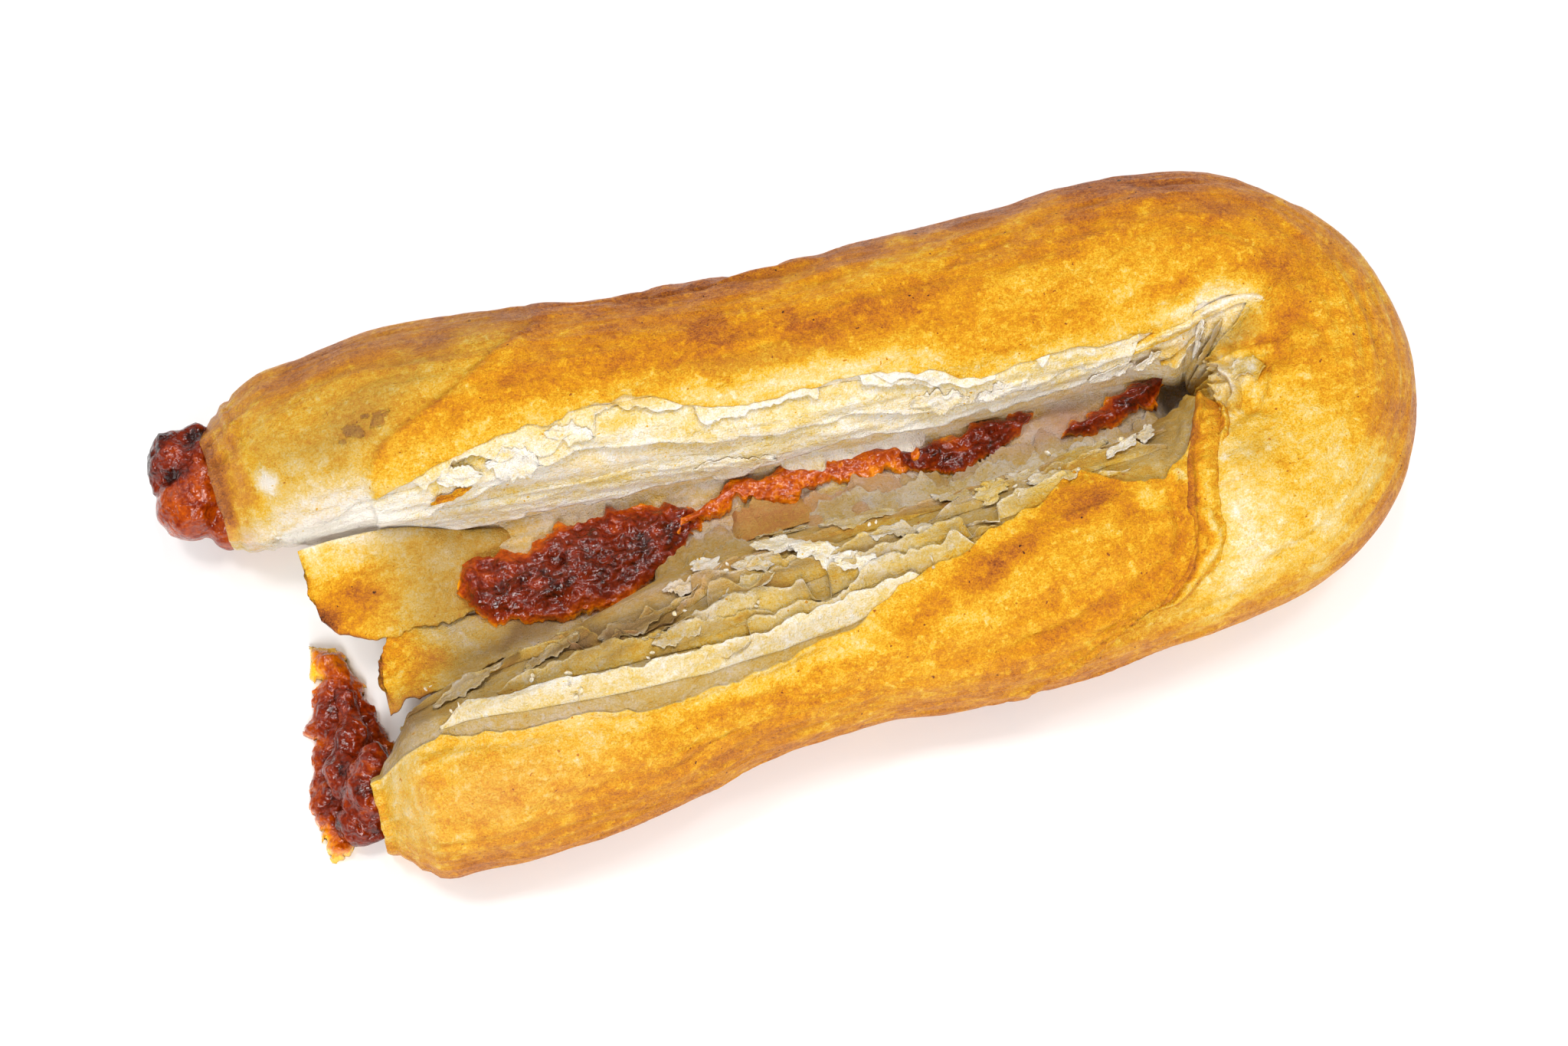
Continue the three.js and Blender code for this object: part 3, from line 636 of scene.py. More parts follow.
def hemLift(run, angle):
    arc = roundThe(angle)
    past = run - hemRun(angle) + wave(hem["wander"], arc)
    proud = hem["step"] * np.exp(-np.maximum(past, 0) / hem["fade"]) * ease(past, 0, hem["width"])
    for place, width, height in hem["folds"]:
        fold = hump(past + wave(hem["drift"], arc, place), place, width)
        proud = proud + height * fold * (hem["even"] + wave(hem["uneven"], arc, place))
    under = hem["underShare"]
    return proud * (under + (1 - under) * ease(angle, *hem["underAngles"])) * (run >= bendMiddle)


def relief(run, angle):  # how far the skin stands off the plain roll, without the torn sheets' steps
    total = wrinkleLift(run, angle) + pleatLift(run, angle) + seamLift(run, angle) + beadLift(run, angle)
    under = ease(overlapRun(angle) - run, 0, overlap["width"]) * (run < bendMiddle)
    under = under * ease(angle, *overlap["angles"])
    total = total + hemLift(run, angle) - overlap["step"] * under + sum(bothWraps(run, angle))
    total = total + endRounding(run, "long") + endRounding(courseLength - run, "short")
    total = total + seenCreases(run, angle) - skinPiece["inset"]
    return total * ease(np.sin(np.radians(angle)), -roll["restShare"], -roll["restShare"] / 2)


def sunkBelow(run, angle, edge):  # how far the flank lies below the browned sheet, past its edge
    f = flankStep
    onLeg = ease(np.abs(run - bendMiddle), f["nearBend"], f["onLeg"])
    share = f["bendShare"] + (1 - f["bendShare"]) * onLeg
    deep = f["sheet"] + f["sunk"] * ease(angle, edge, f["foot"]) * share
    step = ease(angle, edge - f["sharp"], edge + f["sharp"])
    return f["lip"] * hump(angle, edge - f["lipWidth"], f["lipWidth"]) - deep * step


def ringRuns():  # closer together where the skin is gathered and folded
    c = skinPiece["closeRings"]
    fine = np.linspace(0, courseLength, c["samples"])
    close = between(fine, c["from"] - c["width"], c["from"], c["to"], c["to"] + c["width"])
    weight = 1 + (c["share"] - 1) * close
    gone = np.concatenate([[0], np.cumsum((weight[1:] + weight[:-1]) / 2)])
    return np.interp(np.linspace(0, gone[-1], skinPiece["rings"]), gone, fine)


def ringAngles(edge):
    s = skinPiece
    margin = s["edgeMargin"]
    rest = math.degrees(math.asin(roll["restShare"]))
    outer = -rest + np.linspace(0, 1, s["outerLines"]) * (edge[:, None] - margin + rest)
    step = edge[:, None] + np.array(s["edgeLines"])
    shares = np.linspace(0, 1, s["innerLines"] + 1)[1:] ** s["innerCrowding"]
    inner = edge[:, None] + margin + shares * (180 + rest - edge[:, None] - margin)
    under = np.linspace(180 + rest, 360 - rest, s["underLines"] + 2)[1:-1]
    return np.hstack([outer, step, inner, np.broadcast_to(under, (len(edge), len(under)))])


skinLook = {
    # a row of three is an amount, then where it eases in, or for a line its middle and its width: the hem's
    # line is brown, the overlap's is painted shadow
    "gold": 0.505, "outerSide": (0.14, -38, 15), "nearEdge": (-0.11, -24, -3),
    "underlayer": -0.06, "underlayerDull": 0.24, "overlapShade": (0.09, 0.2, 1.6), "overlapSoft": (-0.3, 0.5),
    "sheetPale": (0.16, 114, 146), "hemPale": (0.12, 10, 60), "hemReach": (-34, -4, -3, 0.5),
    "hemBrown": (0.03, 3.2, 3.4), "hemAngles": (-120, -70), "longFlank": 0.15, "shortFlank": 0.28,
    "bendFlank": 0.14, "bendSpread": 26, "flankBlotch": (0.05, 9, 9, 31), "flankSoft": 0.3,
    "shortFlankDull": 0.75, "flankDull": 0.05, "bendDull": 0.6, "creaseShade": 0.11,
    "trayFace": 0.62, "trayUnder": (200, 235), "trayOuter": (30, 55), "upSide": (-170, -120),
    # collarGrooveShade and shortGrooveShade are painted shade in the grooves between the wound layers
    "collar": 0.07, "collarGrooveShade": 0.22, "collarReach": (-7, -3), "rim": (0.3, 0.45), "rimAngles": (95, 70),
    "shortEndPale": 0.04, "shortEndReach": (-8, -4), "shortGrooveShade": 0.14, "shortCollarReach": (-8, -3),
    "endWet": (0.9, 0.6), "wetReach": 4,
}


def goldTone(run, angle, past):  # the browned sheet's baking, with a painted shadow line at the overlap's step
    look = skinLook
    longLeg = run < bendMiddle
    outerSide, low, high = look["outerSide"]
    nearEdge, far, near = look["nearEdge"]
    gold = look["gold"] + outerSide * ease(-angle, low, high) + nearEdge * ease(past, far, near)
    fromOverlap = run - overlapRun(angle)
    underlayer = ease(-fromOverlap, *look["overlapSoft"]) * longLeg
    # a painted shadow line just past the step where the outer sheet overlaps
    brown, place, width = look["overlapShade"]
    gold = gold + underlayer * look["underlayer"] + brown * hump(fromOverlap, place, width) * longLeg
    fromHem = run - hemRun(angle)
    pale, low, high = look["hemPale"]
    gold = gold - pale * between(fromHem, *look["hemReach"]) * ~longLeg * ease(angle, low, high)
    brown, place, width = look["hemBrown"]
    gold = gold + brown * hump(fromHem, place, width) * ~longLeg * ease(-angle, *look["hemAngles"])
    pale, low, high = look["sheetPale"]
    paling = underlayer * ease(angle, low, high)
    return gold * (1 - paling) + pale * paling, underlayer


def endTone(run, angle, flank):  # painted shade in the grooves, and a dark rim, where the layers are wound round both ends
    look = skinLook
    fromShortEnd = courseLength - run
    upSide = ease(-angle, *look["upSide"])
    longLift, shortLift = bothWraps(run, angle)
    longGrooveShade = np.maximum(-longLift, 0) / wraps["depth"] - 0.5
    shortGrooveShade = np.maximum(-shortLift, 0) / wraps["depth"] - 0.5
    collar = ease(-run, *look["collarReach"]) * upSide * (look["collar"] + look["collarGrooveShade"] * longGrooveShade)
    shortCollar = ease(-fromShortEnd, *look["shortCollarReach"]) * upSide * look["shortGrooveShade"] * shortGrooveShade
    pale = look["shortEndPale"] * ease(-fromShortEnd, *look["shortEndReach"]) * (1 - flank)
    amount, width = look["rim"]
    return collar + shortCollar - pale + amount * np.exp(-run / width) * hump(angle, *look["rimAngles"])


def skinMarks(points, run, angle, edge):  # the look of anything that lies on the roll
    look = skinLook
    past = angle - edge
    longLeg = run < bendMiddle
    flank = ease(past, -look["flankSoft"], look["flankSoft"])
    gold, underlayer = goldTone(run, angle, past)
    inBend = hump(run, bendMiddle, look["bendSpread"])
    inside = np.where(longLeg, look["longFlank"], look["shortFlank"]) + look["bendFlank"] * inBend
    inside = inside + wave(look["flankBlotch"], run, angle, layers=3)
    under, outer = look["trayUnder"], look["trayOuter"]
    trayFace = np.clip(ease(angle, *under) + ease(-angle, *outer), 0, 1)
    bake = (gold * (1 - flank) + inside * flank) * (1 - trayFace) + look["trayFace"] * trayFace
    bake = bake - look["creaseShade"] * np.minimum(seenCreases(run, angle), 0) + endTone(run, angle, flank)
    dull = flank * (look["shortFlankDull"] * ~longLeg + look["flankDull"]) * (1 - look["bendDull"] * inBend)
    dull = dull * (1 - trayFace) + look["underlayerDull"] * underlayer
    longWet, shortWet = look["endWet"]
    wet = longWet * np.exp(-run / look["wetReach"])
    wet = wet + shortWet * np.exp((run - courseLength) / look["wetReach"])
    return painted(points, bake, dull=dull, wet=wet)


# share of the roll's section, and how far that ring stands out of the roll's end
endRings = [(0.993, 0.5), (0.975, 0.95), (0.95, 1.3), (0.925, 1.45), (0.9, 1.4), (0.88, 1.1), (0.865, 0.4)]
endHollow = [(0.84, -1.2), (0.6, -2.2)]


def makeRoll():
    s = skinPiece
    runs = ringRuns()
    edge = goldenEdge(runs)
    angles = ringAngles(edge)
    run = np.broadcast_to(runs[:, None], angles.shape)
    lift = relief(run, angles) + sunkBelow(run, angles, edge[:, None])
    rings = skin(run, angles, lift)
    marks = skinMarks(rings, run, angles, edge[:, None])
    ends = []
    for at, direction in ((0, -1), (-1, 1)):
        for share, out in endRings + endHollow:
            wobble = out + wave(s["endWobble"], angles[at], share * s["wobblesDeep"])
            ends.append(skin(runs[at], angles[at], lift[at], share, direction * wobble))
    count = len(endRings) + len(endHollow)
    allRings = np.stack([*ends[:count][::-1], *rings, *ends[count:]])
    for mark in marks:
        firstEnd = np.repeat(marks[mark][:1], count, 0)
        lastEnd = np.repeat(marks[mark][-1:], count, 0)
        marks[mark] = np.vstack([firstEnd, marks[mark], lastEnd])
    return tube("pastryRoll", allRings, marks)


# The wound layers that show at both open ends

woundEnd = {
    "layers": 7, "depth": 0.9, "crest": 0.25, "lines": 150, "steps": 46, "outer": 0.885, "inner": 0.03,
    "back": -3.0, "lowest": 0.4, "uneven": 0.35, "unevenRound": 2, "unevenDeep": 3,
    "rough": (0.25, 12, 0.05, 1), "bake": 0.36, "layerBake": 0.3, "wet": 0.5,
}


def makeWoundEnd(name, run, direction, seed):
    w = woundEnd
    angles = np.linspace(0, 360, w["lines"], endpoint=False)[None, :]
    shares = np.concatenate([[w["outer"]], np.linspace(w["outer"], w["inner"], w["steps"])])[:, None]
    shares, angles = np.broadcast_arrays(shares, angles)
    alongX, alongY = (w["unevenRound"] * side(np.radians(angles)) for side in (np.cos, np.sin))
    uneven = w["uneven"] * noise(alongX, alongY, shares * w["unevenDeep"], seed)
    turn = shares * w["layers"] + angles / 360 + uneven
    part = turn - np.floor(turn)
    out = w["depth"] * (ease(part, 0, w["crest"]) - ease(part, w["crest"], 1))
    out = out + wave(w["rough"], angles, shares, seed)
    out[0] = w["back"]
    runs = np.full(angles.shape, run)
    lift = relief(runs, angles) + sunkBelow(runs, angles, goldenEdge(runs))
    rings = skin(run, angles, lift, shares, direction * out)
    rings[..., 2] = np.maximum(rings[..., 2], w["lowest"])
    return tube(name, rings, painted(rings, w["bake"] + w["layerBake"] * part, wet=w["wet"]))


# The pastry between the legs

web = {
    "rows": [  # x, y, half width, height of the crest
        (-66, -1.8, 13.6, 5), (-62.5, -1.7, 14.4, 9.6), (-59, -1.6, 14, 11.2), (-40, -1.2, 12, 12.4),
        (0, -1.2, 9, 13.3), (40, -3.2, 8, 14.2), (57, -2.6, 6, 14.4), (61, -2.6, 5.5, 8.5), (66, -2.6, 5, 8),
    ],
    "footShare": 1.5, "steps": 260, "across": 44, "waves": (0.55, 7, 3, 51), "layer": (0.35, 9, 0.9, 52),
    "bake": 0.14, "mottle": (0.1, 5, 2, 53), "dull": 0.3, "farDull": 0.3, "farSide": (0.4, -0.2),
    "stain": 0.12,
}


def makeWeb():
    table = np.array(web["rows"])
    x = np.linspace(table[0, 0], table[-1, 0], web["steps"])[:, None]
    middle, half, crest = (np.interp(x, table[:, 0], table[:, k]) for k in (1, 2, 3))
    v = np.linspace(1, -1, web["across"])[None, :]
    y = middle + v * half
    z = crest + wave(web["waves"], x, y, layers=3) + wave(web["layer"], x, y)
    top = np.stack(np.broadcast_arrays(x, y, z), -1)
    foot = top.copy()
    foot[..., 1] = middle + v * half * web["footShare"]
    foot[..., 2] = 0
    bake = web["bake"] + wave(web["mottle"], x, y, layers=3)
    dull = web["dull"] + web["farDull"] * ease(v, *web["farSide"])
    return slab("valleyFloor", top, foot, painted(top, bake, dull=dull, stain=web["stain"]))


# Torn sheets lie along the flanks, each tucked under the one above it

tornSheets = {
    # name: (leg, free edge as seen, degrees up to its root, lift at the edge, raggedness, bake, dull, stain)
    "longSheetLow": ("long", [(-84, 8.4), (-78, 8.8), (-72, 9.2), (-62, 7.2), (-54, 5.2), (-44, 6),
        (-35.8, 5.1), (-25.5, 4.6), (-20, 4.4), (-12.4, 2.8), (-2.6, 3.4), (8, 3.8), (20, 2.2), (30, 1.8),
        (40, 2.2), (50, 2.8), (58, 4.4)], 26, 0.8, 1.6, 0.08, 0.0, 0.02),
    "longSheetMiddle": ("long", [(-86, 13), (-76, 12), (-60, 11.2), (-46, 13.6), (-33, 15.6), (-19, 12.9),
        (-10, 10.2), (-2.5, 8.4), (10, 7.6), (21, 5.4), (34, 4.8), (48, 5.4), (60, 6.6)], 24, 0.7, 1.2,
        0.15, 0.0, 0.0),
    "longSheetHigh": ("long", [(-62, 15.6), (-56, 17.2), (-50, 19), (-44, 18.2), (-38, 17.2), (-33, 18.8),
        (-28, 17), (-18, 16), (-5, 14.6), (4, 13.4), (16, 12.2), (28, 8.6)], 16, 0.8, 4.4, 0.14, 0.0, 0.0),
    "longSheetScrap": ("long", [(12, 13.2), (20, 12), (30, 8.8), (38, 7.8), (46, 8)], 12, 1.1, 3.0, 0.06,
        0.0, 0.0),
    "shortSheetFloor": ("short", [(56, -5), (48, -6), (40, -6.5), (26, -6.6), (12, -6.6), (0, -6.2),
        (-12, -6.6), (-20, -8), (-28, -11), (-40, -12.2), (-52, -11)], 14, 0.6, 5.0, 0.32, 0.90, 0.35),
    "shortSheetA": ("short", [(-74, -14.8), (-68, -12.8), (-58, -11.4), (-46, -10.8), (-36, -12)], 15, 0.9,
        4.0, 0.34, 1.1, 0.0),
    "shortSheetB": ("short", [(-34, -10.4), (-26, -8.8), (-20, -8), (-14, -8.4), (-6, -8), (4, -7.6)], 15,
        0.9, 5.5, 0.28, 1.0, 0.10),
    "shortSheetC": ("short", [(-38, -12.6), (-26, -12), (-16, -11.2), (-5, -11), (4, -10), (14, -9.6)], 14,
        1.0, 5.5, 0.30, 1.0, 0.05),
    "shortSheetD": ("short", [(-28, -15.2), (-14, -15), (-3, -14.4), (6, -12.6), (16, -12.2), (28, -11.2)],
        14, 1.1, 5.0, 0.24, 0.85, 0.0),
    "shortSheetE": ("short", [(-56, -15.2), (-44, -15.6), (-30, -16), (-20, -17), (-8, -17)], 13, 1.0, 4.0,
        0.30, 0.9, 0.0),
    "shortSheetF": ("short", [(-24, -19.4), (-8, -18.6), (0, -18), (5, -15.2), (14, -15), (24, -13.8)], 13,
        1.2, 4.5, 0.25, 0.65, 0.0),
    "shortSheetG": ("short", [(16, -8.2), (26, -8), (36, -8.2), (46, -7.6), (55, -7.4)], 14, 1.0, 5.5, 0.26,
        0.8, 0.10),
    "shortSheetH": ("short", [(20, -10.6), (30, -10.8), (38, -9.8), (48, -9.4)], 12, 1.1, 5.0, 0.20, 0.6,
        0.0),
    "shortSheetTop": ("short", [(16, -16.6), (8, -18.2), (0, -20), (-12, -20.8), (-24, -21), (-38, -20.4),
        (-50, -19.4), (-66, -18.8)], 12, 1.3, 2.6, 0.15, 0.22, 0.0),
}
tornShape = {  # a noise is its height, width along the run, width up the flank, seed
    "thick": 0.26, "step": 0.28, "across": 18, "crowding": 0.8, "fullRough": 4, "ragged": (1, 5, 1, 0),
    "jag": 1.5, "fineJag": (1, 0.9, 1, 7), "wideJag": (1, 2.2, 1, 8),
    "tears": 10.0, "tearPlaces": (1, 7, 1, 9), "tearSteep": (0.2, 0.34), "endFade": 6, "endShare": 0.1,
    "sway": (0.8, 3, 1, 5), "ripple": (0.22, 5, 5, 1), "fineRipple": (0.088, 2, 3, 2),
    "curl": 0.3, "curlSharp": 6, "curlEven": 0.4, "curlPlaces": (1, 3.5, 1, 3),
    "clear": 0.15, "liftAcross": (-0.2, 1.1), "endLift": 0.3, "tuck": 0.3, "tuckAcross": (-1.0, 1.5),
    # rimPaleAndLit and rimClearAndLit make the torn rim paler and less dull: thinner pastry there, and
    # painted light caught on the edge
    "rim": (0.8, 0.98), "rimPaleAndLit": 0.08, "rimClearAndLit": 0.4, "mottle": (0.06, 7, 7, 4),
    # rootShade is painted shade on each sheet's root, under the edge of the sheet above
    "rootShade": 0.06, "rootAcross": (0.9, 0.2), "dullEven": 0.85, "dullPlaces": (0.4, 6, 6, 6),
}


def onFlank(run, angle):  # the browned sheet's edge, and how high the skin and the flank below it lie
    golden = goldenEdge(run)
    ground = relief(run, angle)
    return golden, ground, ground + sunkBelow(run, np.maximum(angle, golden + 1), golden)


def plate(name, run, angle, height, thick, bake, **looks):  # a thin sheet that follows the roll
    upper = skin(run, angle, height)
    lower = skin(run, angle, height - thick)
    return slab(name, upper, lower, painted(upper, bake, **looks))


def tornEdge(runs, edge, span, rough, seed):  # the sheet's root, its torn edge, and where it is whole
    t = tornShape
    ragged = rough * wave(t["ragged"], runs, seed=seed, layers=3)
    jag = np.abs(wave(t["fineJag"], runs, seed=seed)) + wave(t["wideJag"], runs, seed=seed)
    tears = ease(wave(t["tearPlaces"], runs, seed=seed), *t["tearSteep"])
    torn = ragged - rough / t["fullRough"] * (t["jag"] * jag + t["tears"] * tears)
    atEnd = between(runs, runs[0], runs[0] + t["endFade"], runs[-1] - t["endFade"], runs[-1])[:, None]
    top = (edge - span)[:, None]
    reach = t["endShare"] + (1 - t["endShare"]) * atEnd
    return top, top + (edge[:, None] + torn[:, None] - top) * reach, atEnd


def makeTornSheet(name, seed):
    t = tornShape
    leg, edgePoints, span, lift, rough, bake, dull, stain = tornSheets[name]
    found = (longSide if leg == "long" else shortSide)(edgePoints)
    found = found[np.argsort(found[:, 0])]
    runs = np.linspace(found[0, 0], found[-1, 0], int((found[-1, 0] - found[0, 0]) / t["step"]))
    top, edge, atEnd = tornEdge(runs, np.interp(runs, found[:, 0], found[:, 1]), span, rough, seed)
    v = np.linspace(0, 1, t["across"])[None, :] ** t["crowding"]
    run = runs[:, None] + wave(t["sway"], runs, seed=seed)[:, None] * v ** 2
    angle = top + (edge - top) * v
    golden, ground, height = onFlank(run, angle)
    ripple = wave(t["ripple"], run, angle, seed) + wave(t["fineRipple"], run, angle, seed)
    flare = t["curl"] * v ** t["curlSharp"] * (t["curlEven"] + wave(t["curlPlaces"], run, seed=seed))
    rise = lift * ease(v, *t["liftAcross"]) * (t["endLift"] + (1 - t["endLift"]) * atEnd)
    height = height + t["clear"] + rise + ripple * v + flare
    tucked = ease(golden - angle, *t["tuckAcross"])
    height = height * (1 - tucked) + np.minimum(height, ground - t["tuck"]) * tucked
    rim = ease(v, *t["rim"])
    # painted shade towards the root, under the edge of the sheet above
    tone = bake + wave(t["mottle"], run, angle, seed) + t["rootShade"] * ease(v, *t["rootAcross"])
    # the torn rim is paler and less dull: thinner pastry, and painted light caught on the edge
    clear = dull * (1 - t["rimClearAndLit"] * rim) * (t["dullEven"] + wave(t["dullPlaces"], run, angle, seed))
    return plate(name, run, angle, height, t["thick"], tone - t["rimPaleAndLit"] * rim, dull=clear, stain=stain * v)


# Scraps of sheet on the valley's floor, each with a torn edge towards the jam

scraps = {
    # name: (torn edge as seen, its height, hidden edge as seen, its height, bake, dull, stain)
    "scrapLeft": ([(-27, -5), (-22, -3.4), (-17, -3.2), (-13, -2.4)], 14.0, [(-28, -10), (-22, -9.4),
        (-17, -9), (-11, -8.4)], 17.5, 0.26, 0.9, 0.1),
    "scrapBrown": ([(-13, -0.6), (-9, 0.4), (-4, -0.8), (0, -1.6)], 14.2, [(-14, -6), (-9, -6), (-4, -6),
        (1, -6)], 16.5, 0.46, 0.8, 0.3),
    "scrapMauve": ([(-3, -2.4), (2, -1.4), (8, -1.0), (13, -1.8), (16, -3.4)], 14.8, [(-4, -8), (2, -8.4),
        (8, -8.2), (13, -8), (18, -8)], 17.5, 0.24, 0.85, 0.5),
    "scrapMiddle": ([(13, -2.6), (18, -2.6), (23, -4.4), (28, -3.8)], 14.6, [(13, -9), (18, -9), (23, -9),
        (29, -9)], 17.5, 0.22, 0.9, 0.15),
    "scrapRight": ([(26, -4.4), (32, -2.6), (38, -3), (43, -4)], 14.8, [(26, -9), (32, -8.6), (38, -8.4),
        (45, -8)], 17.5, 0.22, 0.75, 0.1),
    "scrapFar": ([(41, -4.6), (47, -4.4), (53, -4.2), (57, -3.8)], 15.0, [(42, -8.6), (47, -8.4), (53, -8),
        (58, -7)], 17, 0.22, 0.6, 0.1),
    "scrapUnderLeft": ([(-26, -7.6), (-21, -6.0), (-15, -5.4), (-9, -5.6), (-3, -6.6)], 16.4, [(-27, -11),
        (-21, -10.6), (-15, -10), (-9, -9.8), (-2, -9.6)], 18.4, 0.24, 0.95, 0.0),
    "scrapUnderMiddle": ([(-5, -5.0), (0, -4.0), (6, -3.4), (12, -4.6), (17, -5.6)], 16.2, [(-6, -9),
        (0, -9), (6, -8.8), (12, -8.8), (18, -9)], 18.2, 0.20, 0.8, 0.0),
    "scrapUnderRight": ([(10, -5.4), (16, -4.0), (22, -5.8), (27, -5.0), (34, -4.4)], 16.2, [(10, -9),
        (16, -9), (22, -9.2), (28, -9), (35, -9)], 18.4, 0.16, 0.7, 0.0),
    "scrapUnderFar": ([(30, -5.8), (36, -4.8), (42, -5.4), (48, -5.8), (54, -5.2)], 16.4, [(30, -9),
        (36, -9), (42, -8.8), (48, -8.8), (55, -8)], 18.2, 0.14, 0.6, 0.0),
    "scrapLong": ([(-2, 1.2), (6, 1.4), (12, 1.0), (20, 0.2)], 14.9, [(-3, 6), (6, 6), (12, 5.6),
        (21, 4.6)], 17.5, 0.05, 0.0, 0.2),
}
scrapShape = {
    "steps": 160, "across": 40, "thick": 0.28, "ragged": (1.3, 2.6, 1, 0), "jag": (0.7, 0.8, 1, 1),
    "waves": (0.55, 3.5, 3, 2), "endDrop": 1.6, "endSharp": 8, "rim": (0.75, 1), "rimPaleAndLit": 0.10,
    "mottle": (0.06, 4, 3, 3),
}


def makeScrap(name, seed):
    f = scrapShape
    torn, tornHeight, hidden, hiddenHeight, bake, dull, stain = scraps[name]
    low = atHeight(smoothLine(torn, f["steps"]), tornHeight)[:, None]
    high = atHeight(smoothLine(hidden, f["steps"]), hiddenHeight)[:, None]
    v = np.linspace(0, 1, f["across"])[None, :, None]
    upper = low + (high - low) * v
    x, y = upper[..., 0], upper[..., 1]
    loose = (1 - v[..., 0]) ** 2
    away = np.sign(torn[1][1] - hidden[1][1])
    jag = np.abs(wave(f["jag"], x, seed=seed))
    upper[..., 1] += away * (wave(f["ragged"], x, seed=seed, layers=3) - jag) * loose
    upper[..., 2] += wave(f["waves"], x, y, seed, layers=2)
    upper[..., 2] -= f["endDrop"] * np.linspace(-1, 1, f["steps"])[:, None] ** f["endSharp"]
    lower = upper - np.array([0, 0, f["thick"]])
    # the torn rim is paler: thinner pastry, and painted light caught on the edge
    tone = bake - f["rimPaleAndLit"] * ease(loose, *f["rim"]) + wave(f["mottle"], x, y, seed)
    return slab(name, upper, lower, painted(upper, tone, dull=dull, stain=stain))


print("roll")
rollPiece = makeRoll()
ends = [
    makeWoundEnd("longWoundEnd", run=0.0, direction=-1, seed=61),
    makeWoundEnd("shortWoundEnd", run=courseLength, direction=1, seed=71),
]
print("valley")
valleyFloor = makeWeb()
sheetPieces = makeAll(makeTornSheet, tornSheets, firstSeed=100, step=20)
sheetPieces += makeAll(makeScrap, scraps, firstSeed=700)


# Loose flakes: small torn plates that lie on a flank or lean on each other

flakes = [
    # x, y as seen, length, width, turn from the roll's run, lift, bend, bake, dull
    (-19, -6.5, 6.5, 2.4, 75, 0.9, 0.4, 0.06, 0.2), (-23, -9, 5.4, 3.4, 20, 0.8, 0.4, 0.10, 0.4),
    (-7.0, -7.2, 8.5, 3.0, 28, 1.3, 0.4, 0.09, 0.25), (-2.0, -10.6, 8.5, 3.4, 40, 1.4, 0.4, 0.06, 0.05),
    (3.0, -14, 6.4, 2.8, 24, 1.3, 0.4, 0.07, 0.05), (6, -6.0, 11, 4.0, 8, 0.8, 0.5, 0.20, 0.7),
    (-6, -3.4, 7, 3.0, 15, 0.7, 0.5, 0.26, 0.7), (27, -9, 7.5, 4.2, 120, 1.1, 0.7, 0.26, 0.3),
    (21, -7.4, 7.5, 3.8, 20, 0.9, 0.6, 0.18, 0.6), (33, -8.2, 6, 3.4, 50, 1.0, 0.6, 0.15, 0.5),
    (42, -7.0, 10, 4.0, 170, 0.9, 0.6, 0.24, 0.6), (49, -8.4, 6, 2.6, 160, 1.4, 0.6, 0.05, 0.1),
    (53, -7.6, 4.2, 2.4, 120, 1.3, 0.5, 0.06, 0.1), (37, -10, 8, 2.8, 15, 0.9, 0.5, 0.13, 0.5),
    (-33, -13.4, 11, 3.2, 5, 0.7, 0.4, 0.20, 0.8), (-14, -12.6, 9, 3.0, 172, 0.9, 0.4, 0.16, 0.6),
    (-26, -17.2, 8, 2.4, 5, 0.8, 0.4, 0.20, 0.7), (12, -11.4, 9, 3.0, 5, 0.9, 0.5, 0.14, 0.6),
    (-46, -13.4, 10, 3.0, 175, 0.7, 0.4, 0.22, 0.8), (-60, -14.4, 13, 3.6, 172, 0.8, 0.5, 0.22, 0.8),
    (-12, -9.4, 6, 2.6, 20, 1.0, 0.4, 0.14, 0.5), (17, -13.4, 7, 2.2, 10, 0.8, 0.4, 0.15, 0.5),
]
longFlakes = [
    (-54, 14.8, 7.5, 1.1, 165, 1.6, 0.4, 0.60, 0.0), (-43, 16.6, 8, 3.6, 10, 1.2, 0.4, 0.05, 0.0),
    (-52, 17.2, 7, 2.6, 0, 1.2, 0.4, 0.06, 0.0), (-33, 19.0, 7, 2.4, 15, 1.1, 0.4, 0.05, 0.0),
    (24, 7, 9, 3.4, 5, 1.1, 0.5, 0.12, 0.0), (34, 6, 8, 2.8, 170, 1.1, 0.5, 0.07, 0.0),
    (52, 3.8, 8, 2.4, 175, 1.3, 0.6, 0.06, 0.1), (58, 4.4, 7, 1.6, 160, 1.4, 0.6, 0.08, 0.1),
    (-10, 5.6, 12, 3.4, 5, 1.0, 0.5, 0.14, 0.0), (-65.4, 29.6, 3.8, 1.3, 35, 0.12, 0.0, 0.56, 0.62),
    (-60.6, 30.4, 4.0, 1.5, -30, 0.12, 0.0, 0.58, 0.6), (-67.4, 28.2, 1.3, 0.6, 20, 0.12, 0.0, 0.52, 0.6),
    (-62.6, 31.6, 1.4, 0.8, 20, 0.12, 0.0, 0.56, 0.6),
]
pinchFlakes = [
    (70.8, -1.4, 8.0, 5.0, 82, 0.45, 0.3, 0.40, 0.5), (66.4, 5.4, 8, 1.8, 60, 1.2, 0.5, 0.10, 0.3),
]
flakeShape = {
    "steps": 44, "across": 16, "thick": 0.2, "taper": 2.6, "tip": 0.02, "fullSize": 3,
    "ragged": (0.62, 3, 1, 1), "raggedTips": (0.62, 2 / 3, 1, 0), "jag": (0.4, 1.2, 1, 4),
    "cup": 0.35, "cupMiddle": 0.4, "tilt": 0.4, "waves": (0.3, 1 / 3, 1 / 2, 2),
    "rim": (0.7, 1), "rimPaleAndLit": 0.05, "rimClearAndLit": 0.4, "mottle": (0.05, 1 / 3, 1 / 2, 3),
}


